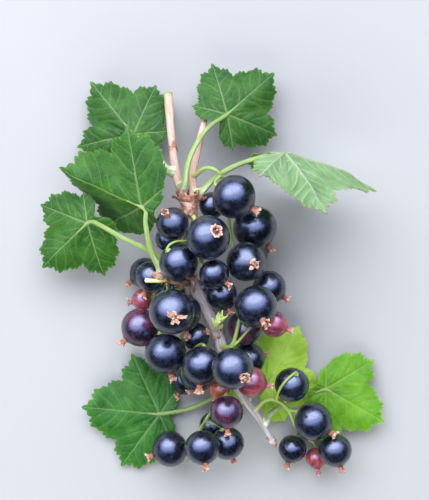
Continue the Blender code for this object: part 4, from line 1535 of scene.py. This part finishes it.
        # The marks end with those of the blade's start, where both faces close.
        flat = around(distance, np.radians(turn), 0.0) * MM
        marks = {
            "blade": flat.reshape(-1, 3), "rib": rib.ravel(), "phase": phase.ravel() + self.phase_start,
            "pitch": np.full(rib.size, pitch), "fade": fade.ravel(), "edge": share.ravel(),
        }
        start = {"phase": self.phase_start, "pitch": pitch}
        for mark, values in marks.items():
            marks[mark] = np.append(values, np.full_like(values[:1], start.get(mark, 0.0)), axis=0)
        hub = self.rings * self.rays
        following = [(ray + 1) % self.rays for ray in range(self.rays)]
        faces = grid_faces(self.rings, self.rays) + [[hub, after, ray] for ray, after in enumerate(following)]
        turned = [face[::-1] for face in faces]
        for finish, (sheet, chosen) in enumerate(zip(sheets, (turned, faces))):
            places = np.concatenate([sheet.reshape(-1, 3), sheet[0].mean(axis=0, keepdims=True)]) * MM
            places[:, 2] = np.maximum(places[:, 2], 0.04 * MM * (2 - finish))
            draft.add(places, chosen, finish, **marks)
        last, below = (self.rings - 1) * self.rays, hub + 1
        draft.join([
            [last + ray, last + after, below + last + after, below + last + ray]
            for ray, after in enumerate(following)
        ])

    def _stalk(self, draft: Draft, wood: BVHTree) -> None:
        """Adds the stalk, from a broad pale foot on the wood to the underside of the blade."""
        along, _, up = self._frame()
        start = np.array(self.start) * MM
        path = StalkLines("leaf_" + self.name, self.foot).line_to(start - up * 0.25 * MM, rounds=30)
        path = np.concatenate([
            [into_wood(wood, path[0], 0.9)], path[1:],
            [start + (along * 2.2 - up * 0.40) * MM], [start + (along * 5.0 - up * 0.28) * MM],
        ])
        path = relax(resample(path, 0.7 * MM), 6)
        share = np.linspace(0.0, 1.0, len(path))
        far = share * np.linalg.norm(np.diff(path, axis=0), axis=1).sum() / MM
        radii = self.stalk_base + (self.stalk_tip - self.stalk_base) * share
        radii = radii * (1.0 + 1.05 * np.exp(-(far / 3.2) ** 2))
        radii = radii * (0.35 + 0.65 * smooth_step(0.0, 6.0, far[-1] - far))
        places, faces, distance, grain = Tube(path, radii * MM, 24, groove=0.22, flat=0.92).build()
        draft.add(places, faces, 2, share=np.clip(distance / (self.pale_reach * MM), 0.0, 1.0), grain=grain)

    def build(self, wood: BVHTree) -> None:
        """Makes the leaf as one piece, with its foot drawn into the twig's surface."""
        draft = Draft()
        self._blade(draft)
        self._stalk(draft, wood)
        materials = [finish.material() for finish in (*self.tone.value, PETIOLE_FINISH)]
        settle_piece(draft.piece("foliage_" + self.name, *materials), "leaf", "leaf_" + self.name)


@dataclass
class Shoot:
    """A stretch of the twig: where it runs and its radius at its start, middle and end, in millimetres."""

    name: str
    bud: bool
    radii: Triple
    points: list[Triple]

    def end(self, unit_of: float = 1.0) -> tuple[Array, Array]:
        """Where it ends, in the unit given, and the direction that it ends in."""
        tip, before = (np.array(self.points[place], dtype=float) * unit_of for place in (-1, -2))
        return tip, unit(tip - before)


@dataclass(frozen=True)
class Flaky:
    """A stretch of the twig where torn scales stand off it, with its sizes in millimetres.

    lean is how far the scales stand off, in degrees, and upwards the share of them that point along
    way.
    """

    middle: Triple
    way: Triple
    half: float
    radius: float
    count: int
    length: float
    lean: float
    upwards: float


@dataclass
class Twig:
    """The woody twig: its shoots, the flaky knot that they leave, its buds and its cut end.

    Its sizes are millimetres. LUMP is the knot: how far from its middle it runs, and its radii. CUT
    has the rings of the cut end: how far out, as a share of the radius, and how high they stand.
    """

    LUMP = (((0.0, -2.4, -0.2), 1.9), ((0.0, -1.0, 0.0), 2.7), ((0.0, 0.6, 0.1), 2.8), ((0.2, 2.2, 0.1), 1.7))
    CUT = (
        (0.0, 0.42), (0.12, 0.40), (0.25, 0.44), (0.45, 0.50), (0.65, 0.48), (0.82, 0.48), (0.94, 0.44),
        (1.0, 0.34), (1.0, -0.30),
    )

    shoots: list[Shoot]
    knot: Triple = (-6.0, 28.0, 19.2)
    bud_length: float = 3.8
    bud_radius: float = 1.4
    bud_scales: int = 9
    voxel_mm: float = 0.2
    flaky: tuple[Flaky, ...] = (
        Flaky((-6.0, 28.8, 19.2), (0.10, 1.0, 0.05), 0.8, 2.9, 18, 4.0, 30.0, 1.0),
        Flaky((-5.9, 26.4, 19.1), (0.05, 1.0, 0.05), 2.6, 2.9, 24, 3.4, 10.0, 0.8),
        Flaky((-12.2, 4.8, 21.6), (-0.9, 0.3, 0.45), 2.4, 1.2, 16, 2.1, 28.0, 0.7),
        Flaky((-7.4, 3.6, 18.2), (-0.8, 0.15, 0.6), 3.0, 1.2, 14, 1.7, 30.0, 0.5),
        Flaky((-5.0, 3.8, 16.3), (0.15, -1.0, -0.1), 3.0, 1.9, 12, 2.0, 24.0, 0.4),
        Flaky((3.1, -13.0, 14.6), (0.4, -0.9, 0.0), 2.0, 1.9, 8, 1.7, 22.0, 0.4),
        Flaky((-11.0, 45.0, 17.0), (-0.1, 1.0, -0.3), 7.0, 1.25, 7, 2.2, 8.0, 0.5),
    )

    def _shoot_tube(self, shoot: Shoot) -> tuple[Array, Array]:
        """A shoot's path and radii, with the slight swelling of its leaf joints."""
        path = catmull_rom(shoot.points, 0.5)
        uneven = ripple(path, 9.0, shoot.name) * 0.05
        return path * MM, spread(len(path), shoot.radii) * (1.0 + uneven) * MM

    def _bud_tube(self, shoot: Shoot) -> tuple[Array, Array]:
        """The core of the bud at a shoot's end."""
        tip, along = shoot.end()
        stations = np.array([-0.2, 0.15, 0.4, 0.7, 0.95]) * self.bud_length
        path = resample(tip + along * stations[:, None], 0.3)
        wide = self.bud_radius
        return path * MM, spread(len(path), (shoot.radii[-1] * 0.9, wide, wide * 0.95, 0.7 * wide, 0.3)) * MM

    def _wood(self) -> bpy.types.Object:
        """Makes the wood as one skin, with its cracks along the grain in relief."""
        tubes = [self._shoot_tube(shoot) for shoot in self.shoots]
        tubes += [self._bud_tube(shoot) for shoot in self.shoots if shoot.bud]
        path = resample(np.array(self.knot) + np.array([place for place, _ in self.LUMP]), 0.4)
        tubes.append((path * MM, spread(len(path), [radius for _, radius in self.LUMP]) * MM))
        skin = FusedTubes("twig", BARK.material(), tubes, 20, self.voxel_mm, 5)
        grain = skin.grain(0.06)
        crack = ripple(grain, 0.9 * MM, "crack", 12) * 0.5 + ripple(grain, 2.2 * MM, "swell", 9) * 0.5
        near_knot = sum(
            np.exp(-(np.linalg.norm(skin.places / MM - np.array(middle), axis=1) / reach) ** 2)
            for middle, reach in ((self.knot, 3.6), (self.flaky[2].middle, 3.4), (self.flaky[3].middle, 3.0))
        )
        near_knot = np.minimum(near_knot, 1.0)
        rise = crack * (0.045 + 0.10 * near_knot) * MM
        places = skin.places + unit(skin.off) * rise[:, None]
        skin.thing.data.vertices.foreach_set("co", places.ravel())
        older = smooth_step(18.0, 4.0, places[:, 1] / MM) * smooth_step(1.2, 1.7, skin.radii / MM)
        low = smooth_step(-24.0, -34.0, places[:, 1] / MM)
        age = np.clip(0.85 * older + low, 0.0, 1.0) * (1.0 - near_knot) - 0.5 * near_knot
        mark_mesh(skin.thing.data, grain=grain, age=age)
        settle_piece(skin.thing, "bark", "stem")
        return skin.thing

    def _scale(self, draft: Draft, root: Array, out: Array, up: Array, strip: Strip, name: str) -> None:
        """Adds one flake or bud scale."""
        places, faces, tip = strip.build(root, out, up, name)
        draft.add(places, faces, grain=strip_grain(places, tip), age=0.3 * tip)

    def _buds(self) -> None:
        """Makes the overlapping brown scales round each bud."""
        draft = Draft()
        for shoot in (shoot for shoot in self.shoots if shoot.bud):
            rng = draws(shoot.name + "bud")
            tip, along = shoot.end(MM)
            side, over = crosswise(along)
            for number in range(self.bud_scales):
                out = outward(side, over, GOLDEN_TURN * number)
                level = number / (self.bud_scales - 1)
                strip = Strip(
                    length=(1.9 + 0.9 * level) * rng.uniform(0.9, 1.1), width=2.0 - 0.7 * level,
                    lean=16.0 - 14.0 * level, curl=-34.0 + rng.uniform(-8.0, 12.0), cup=0.55,
                    root_width=0.8, tip_power=0.55, thickness=0.16, crumple=0.05,
                )
                root = tip + along * (2.1 * level - 0.5) * MM + out * (1.15 - 0.45 * level) * MM
                self._scale(draft, root, out, along, strip, f"{shoot.name}{number}")
        settle_piece(draft.piece("bud_scales", FLAKE.material()), "bark")

    def _flakes(self) -> None:
        """Makes the peeling flakes of the knot and the foot of the spur."""
        draft = Draft()
        rng = draws("flakes")
        for flaky in self.flaky:
            along = unit(np.array(flaky.way))
            side, over = crosswise(along)
            for number in range(flaky.count):
                out = outward(side, over, GOLDEN_TURN * number + rng.uniform(-0.4, 0.4))
                place = rng.uniform(-1.0, 1.0)
                strip = Strip(
                    length=flaky.length * rng.uniform(0.6, 1.25),
                    width=flaky.length * rng.uniform(0.45, 0.75),
                    lean=flaky.lean + rng.uniform(-14.0, 18.0), curl=rng.uniform(-35.0, 55.0),
                    cup=rng.uniform(0.2, 0.9), root_width=0.85, tip_power=rng.uniform(0.25, 0.7),
                    thickness=0.15, crumple=0.10 * flaky.length, crease=0.9, rows=11, columns=9,
                )
                width = flaky.radius * math.sqrt(max(0.15, 1.0 - 0.55 * place ** 2))
                root = np.array(flaky.middle) + along * place * flaky.half + out * width * 0.92
                way = along if rng.uniform() < flaky.upwards else -along
                self._scale(draft, root * MM, out, way, strip, f"flake{number}{flaky.radius}")
        settle_piece(draft.piece("bark_flakes", FLAKE.material()), "bark")

    def _cut(self) -> None:
        """Makes the cut face at the top of the left shoot, a little proud of the bark."""
        shoot = next(shoot for shoot in self.shoots if shoot.name == "left_shoot")
        end, along = shoot.end()
        shares, lifts = (np.array(column)[:, None] for column in zip(*self.CUT))
        turn = turns(36)
        ring = shares * np.ones(len(turn)) * shoot.radii[-1]
        local = around(ring, turn, lifts + 0.16 * ring * np.cos(turn - 0.8))
        places = in_frame(local, end, *crosswise(along), along) * MM
        draft = Draft()
        draft.add(places, grid_faces(*ring.shape), rim=np.repeat(shares, len(turn)))
        settle_piece(draft.piece("cut_end", CutWoodFinish().material()), "bark")

    def build(self) -> bpy.types.Object:
        """Makes the twig and what is on it, and gives the wood."""
        wood = self._wood()
        self._buds()
        self._flakes()
        self._cut()
        return wood


@dataclass
class YoungShoot:
    """The green shoot on the middle of the twig: a bud that opens into small folded leaves.

    Its sizes are millimetres.
    """

    foot: Triple = (2.2, -10.8, 17.1)
    tip: Triple = (4.2, -5.8, 24.0)
    leaves: int = 9

    def build(self, wood: BVHTree) -> None:
        """Makes the shoot, with its foot drawn to the twig's surface."""
        foot, tip = np.array(self.foot), np.array(self.tip)
        along = unit(tip - foot)
        side, over = crosswise(along)
        path = (foot + (tip - foot) * np.linspace(0.0, 0.7, 12)[:, None]) * MM
        path = np.concatenate([[into_wood(wood, foot * MM, 0.0)], path])
        radii = spread(len(path), (0.9, 0.85, 0.9, 0.6, 0.3), (0.0, 0.15, 0.5, 0.8, 1.0)) * MM
        draft = Draft()
        places, faces, far, grain = Tube(path, radii).build()
        draft.add(places, faces, share=0.2 + 0.8 * far / far.max(), grain=grain)
        rng = draws("young_shoot")
        for number in range(self.leaves):
            out = outward(side, over, GOLDEN_TURN * number + 0.6)
            level = number / (self.leaves - 1)
            strip = Strip(
                length=(4.2 + 1.6 * math.sin(math.pi * level)) * rng.uniform(0.85, 1.15),
                width=2.6 - 0.8 * level,
                lean=44.0 - 38.0 * level, curl=-45.0 + rng.uniform(-20.0, 60.0), cup=1.6, root_width=0.40,
                tip_power=1.1, thickness=0.24, crumple=0.16, crease=1.2, rows=17, columns=13,
            )
            root = (foot + (tip - foot) * (0.05 + 0.45 * level) + out * 0.45) * MM
            name, yaw = f"young{number}", rng.uniform(-25.0, 25.0)
            places, faces, share = strip.build(root, out, along, name, yaw)
            draft.add(places, faces, share=0.05 + 0.75 * share ** 1.5, grain=strip_grain(places, share))
        settle_piece(draft.piece("young_shoot", YOUNG_PAINTED_LIGHT_FINISH.material()), "young_shoot", "shoot_bud")


@dataclass
class PickedStalk:
    """The cut stalk of a currant that was picked, left on the spur. Its sizes are millimetres."""

    points: tuple = ((-13.2, 4.9, 22.2), (-15.0, 4.5, 23.4), (-17.4, 4.5, 23.8), (-19.4, 4.6, 23.4))
    radius: float = 0.62

    def build(self) -> None:
        """Makes the stalk, with its pale end."""
        path = catmull_rom(self.points, 0.4)
        share = np.linspace(0.0, 1.0, len(path))
        swell = 0.25 * np.exp(-(share / 0.1) ** 2)
        radii = self.radius * (1.0 + swell + 0.18 * smooth_step(0.85, 1.0, share))
        places, faces, far, grain = Tube(path * MM, radii * MM, 18).build()
        draft = Draft()
        tone = np.interp(far / far.max(), [0.0, 0.2, 0.85, 1.0], [0.25, 0.7, 0.6, 0.0])
        draft.add(places, faces, share=tone, grain=grain)
        settle_piece(draft.piece("picked_stalk", YOUNG_PAINTED_LIGHT_FINISH.material()), "strig")


@dataclass(frozen=True)
class Lamp:
    """A soft oval lamp that looks at the sprig, with its power in watts and its sRGB colour."""

    name: str
    place: Triple
    size: tuple[float, float]
    power: float
    colour: str
    diffuse: bool = True
    glossy: bool = True
    target: Triple = (0.0, 0.01, 0.015)

    def build(self) -> None:
        """Hangs the lamp."""
        data = bpy.data.lights.new(self.name, "AREA")
        data.shape = "ELLIPSE"
        data.size, data.size_y = self.size
        data.energy = self.power
        data.color = linear(self.colour)[:3]
        lamp = put(self.name, data)
        lamp.location = self.place
        lamp.rotation_euler = (Vector(self.target) - Vector(self.place)).to_track_quat("-Z", "Y").to_euler()
        lamp.visible_diffuse = self.diffuse
        lamp.visible_glossy = self.glossy


@dataclass
class Studio:
    """A pale floor, soft lamps and the camera, which looks straight down on the laid sprig.

    The key and the sky light the sprig from above, on the side of the picture's top. The fill, from
    the lower side, shows in no gloss, and the gleam, wide and bluish, shows in gloss alone.
    """

    lamps: tuple[Lamp, ...] = (
        Lamp("key", (-0.11, 0.45, 0.56), (1.20, 0.62), 9.5, "#f8f9ff"),
        Lamp("sky", (-0.10, 0.44, 0.66), (2.3, 1.35), 17.0, "#eaf0ff"),
        Lamp("fill", (-0.14, -0.56, 0.36), (0.90, 0.60), 6.5, "#f4f8f2", glossy=False),
        Lamp("gleam", (-0.08, 0.36, 0.60), (2.6, 1.6), 40.0, "#aabcff", diffuse=False),
    )
    middle_mm: tuple[float, float] = (2.0, 14.0)
    plane_mm: float = 22.0
    view_height_mm: float = 156.0
    lens_mm: float = 100.0
    sensor_mm: float = 36.0
    floor_size: float = 3.0
    floor_points: int = 5

    def _floor(self) -> None:
        """Makes the floor, a level square of a few faces."""
        line = np.linspace(-0.5, 0.5, self.floor_points) * self.floor_size
        across, along = np.meshgrid(line, line, indexing="ij")
        draft = Draft()
        faces = grid_faces(self.floor_points, self.floor_points, False)
        draft.add(np.stack([across, along, np.zeros_like(across)], axis=2), faces)
        floor = draft.piece("floor", PaleFloorFinish().material())

    def _camera(self) -> None:
        """Adds the camera, with the picture's up along +Y."""
        data = bpy.data.cameras.new("camera")
        data.lens = self.lens_mm
        data.sensor_width = self.sensor_mm
        data.clip_start = 0.01
        data.clip_end = 10.0
        camera = put("camera", data)
        away = self.view_height_mm * self.lens_mm / self.sensor_mm
        camera.location = (self.middle_mm[0] * MM, self.middle_mm[1] * MM, (self.plane_mm + away) * MM)
        bpy.context.scene.camera = camera

    def build(self) -> None:
        """Makes the floor, the lamps, the camera and the even light from all round."""
        self._floor()
        for lamp in self.lamps:
            lamp.build()
        self._camera()
        world = bpy.data.worlds.new("soft_light")
        world.use_nodes = True
        ground = world.node_tree.nodes["Background"]
        ground.inputs["Color"].default_value = linear("#dfe4ea")
        ground.inputs["Strength"].default_value = 0.05
        bpy.context.scene.world = world
        bpy.context.scene.view_settings.view_transform = "Standard"


SHOOTS = [
    Shoot("main", True, (1.7, 2.1, 0.8), [
        (-4.8, 26.9, 19.0), (-5.8, 21.8, 18.0), (-6.1, 12.8, 17.0), (-4.8, 3.8, 16.0), (-1.0, -3.8, 15.0),
        (2.6, -11.5, 14.5), (6.4, -23.0, 14.0), (11.2, -33.0, 13.0), (16.3, -40.0, 10.0), (20.2, -46.7, 6.0),
    ]),
    Shoot("left_shoot", False, (1.5, 1.3, 1.4), [
        (-4.8, 26.9, 19.0), (-7.4, 30.0, 19.6), (-9.4, 35.0, 19.6), (-10.6, 41.0, 18.4),
        (-11.4, 48.0, 15.6), (-12.2, 56.0, 11.4), (-13.0, 64.0, 6.6),
    ]),
    Shoot("right_shoot", True, (1.5, 1.2, 1.0), [
        (-4.8, 26.9, 19.0), (-4.7, 31.0, 18.8), (-4.9, 37.0, 18.0), (-3.9, 43.2, 17.0),
        (-2.4, 50.0, 15.0), (-1.0, 56.0, 12.6),
    ]),
    Shoot("spur", True, (1.2, 1.0, 1.0), [
        (-4.8, 3.2, 16.0), (-8.6, 3.8, 19.0), (-11.8, 4.6, 21.2), (-14.4, 5.6, 23.0),
    ]),
]

STRIGS = [
    Strig("strig_top_right", (-4.4, 37.6, 18.0)),
    Strig("strig_centre", (-5.4, 25.0, 18.4)),
    Strig("strig_left", (-7.8, 3.7, 18.4)),
    Strig("strig_lower_left", (-4.0, 1.6, 15.8)),
    Strig("strig_right", (4.2, -16.4, 14.4)),
    Strig("strig_tip", (11.6, -33.6, 12.6)),
    Strig("strig_corner", (14.4, -37.1, 11.4)),
]

LEAVES = [
    Leaf(
        "upper_left", (-20.6, 27.3, 25.6), (-0.92, 0.36, -0.10), (-0.15, -0.60, 0.78), 28.0, 20.0, 0.16, 0.05,
        0.30, (-14.2, 5.5, 22.9), LeafTone.MIDDLE,
    ),
    Leaf(
        "left", (-38.0, 22.5, 19.0), (-0.72, -0.66, -0.20), (-0.20, -0.10, 0.97), 21.0, 14.0, 0.20, 0.05,
        0.46, (-11.2, 4.4, 20.8), LeafTone.MIDDLE,
    ),
    Leaf(
        "upper_right", (23.7, 43.5, 25.5), (0.95, -0.16, -0.10), (0.10, -0.97, -0.20), 29.0, -25.0, -0.14,
        0.05, 0.52, (-4.9, 31.4, 18.8), LeafTone.PALE, side_pitch=0.125, quilt=0.85, small_tooth=0.075,
    ),
    Leaf(
        "behind_right", (18.3, -30.4, 6.0), (0.50, 0.86, 0.06), (0.10, -0.10, 0.99), 22.0, 7.0, 0.10, 0.03,
        0.62, (11.8, -33.8, 12.6), LeafTone.SUNLIT, tooth_out=0.015, tooth_in=0.03, small_tooth=0.03,
    ),
    Leaf(
        "lower_right", (38.1, -30.9, 5.8), (0.86, -0.50, 0.00), (0.00, 0.06, 1.00), 21.0, 6.0, 0.02, 0.04,
        0.33, (17.4, -41.6, 9.0), LeafTone.YOUNG,
    ),
    Leaf(
        "lower_left", (-16.0, -39.5, 3.2), (-0.99, 0.10, 0.06), (0.04, 0.02, 1.0), 24.5, 6.0, 0.02, 0.03,
        0.36, (8.2, -27.0, 13.6), LeafTone.DARK,
    ),
    Leaf(
        "top_left", (-24.0, 51.0, 11.0), (-0.62, 0.77, -0.14), (-0.06, 0.12, 0.99), 22.0, 12.0, 0.18, 0.05,
        0.52, (-10.2, 38.6, 19.0), LeafTone.MIDDLE,
    ),
    Leaf(
        "top_right", (6.0, 57.0, 15.0), (0.72, 0.66, -0.20), (0.14, 0.12, 0.98), 21.0, 12.0, 0.18, 0.05,
        0.52, (-8.6, 33.6, 19.6), LeafTone.MIDDLE,
    ),
]


def main() -> None:
    """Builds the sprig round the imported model, and the studio."""
    logging.basicConfig(level=logging.INFO, format="%(message)s")
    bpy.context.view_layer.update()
    Studio().build()
    slots = {part["node"]: part["material_slot"] for part in frame["record"]["subparts"]}
    currants = [
        Currant(node, Ripeness(slots[node])) for node in sorted(frame["nodes"]) if node.startswith("berry_")
    ]
    for currant in currants:
        currant.build()
    wood = Twig(SHOOTS).build()
    bark = BVHTree.FromObject(wood, bpy.context.evaluated_depsgraph_get())
    for strig in STRIGS:
        strig.build(currants, bark)
    for leaf in LEAVES:
        leaf.build(bark)
    YoungShoot().build(bark)
    PickedStalk().build()
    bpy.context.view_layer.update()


if __name__ == "__main__":
    main()
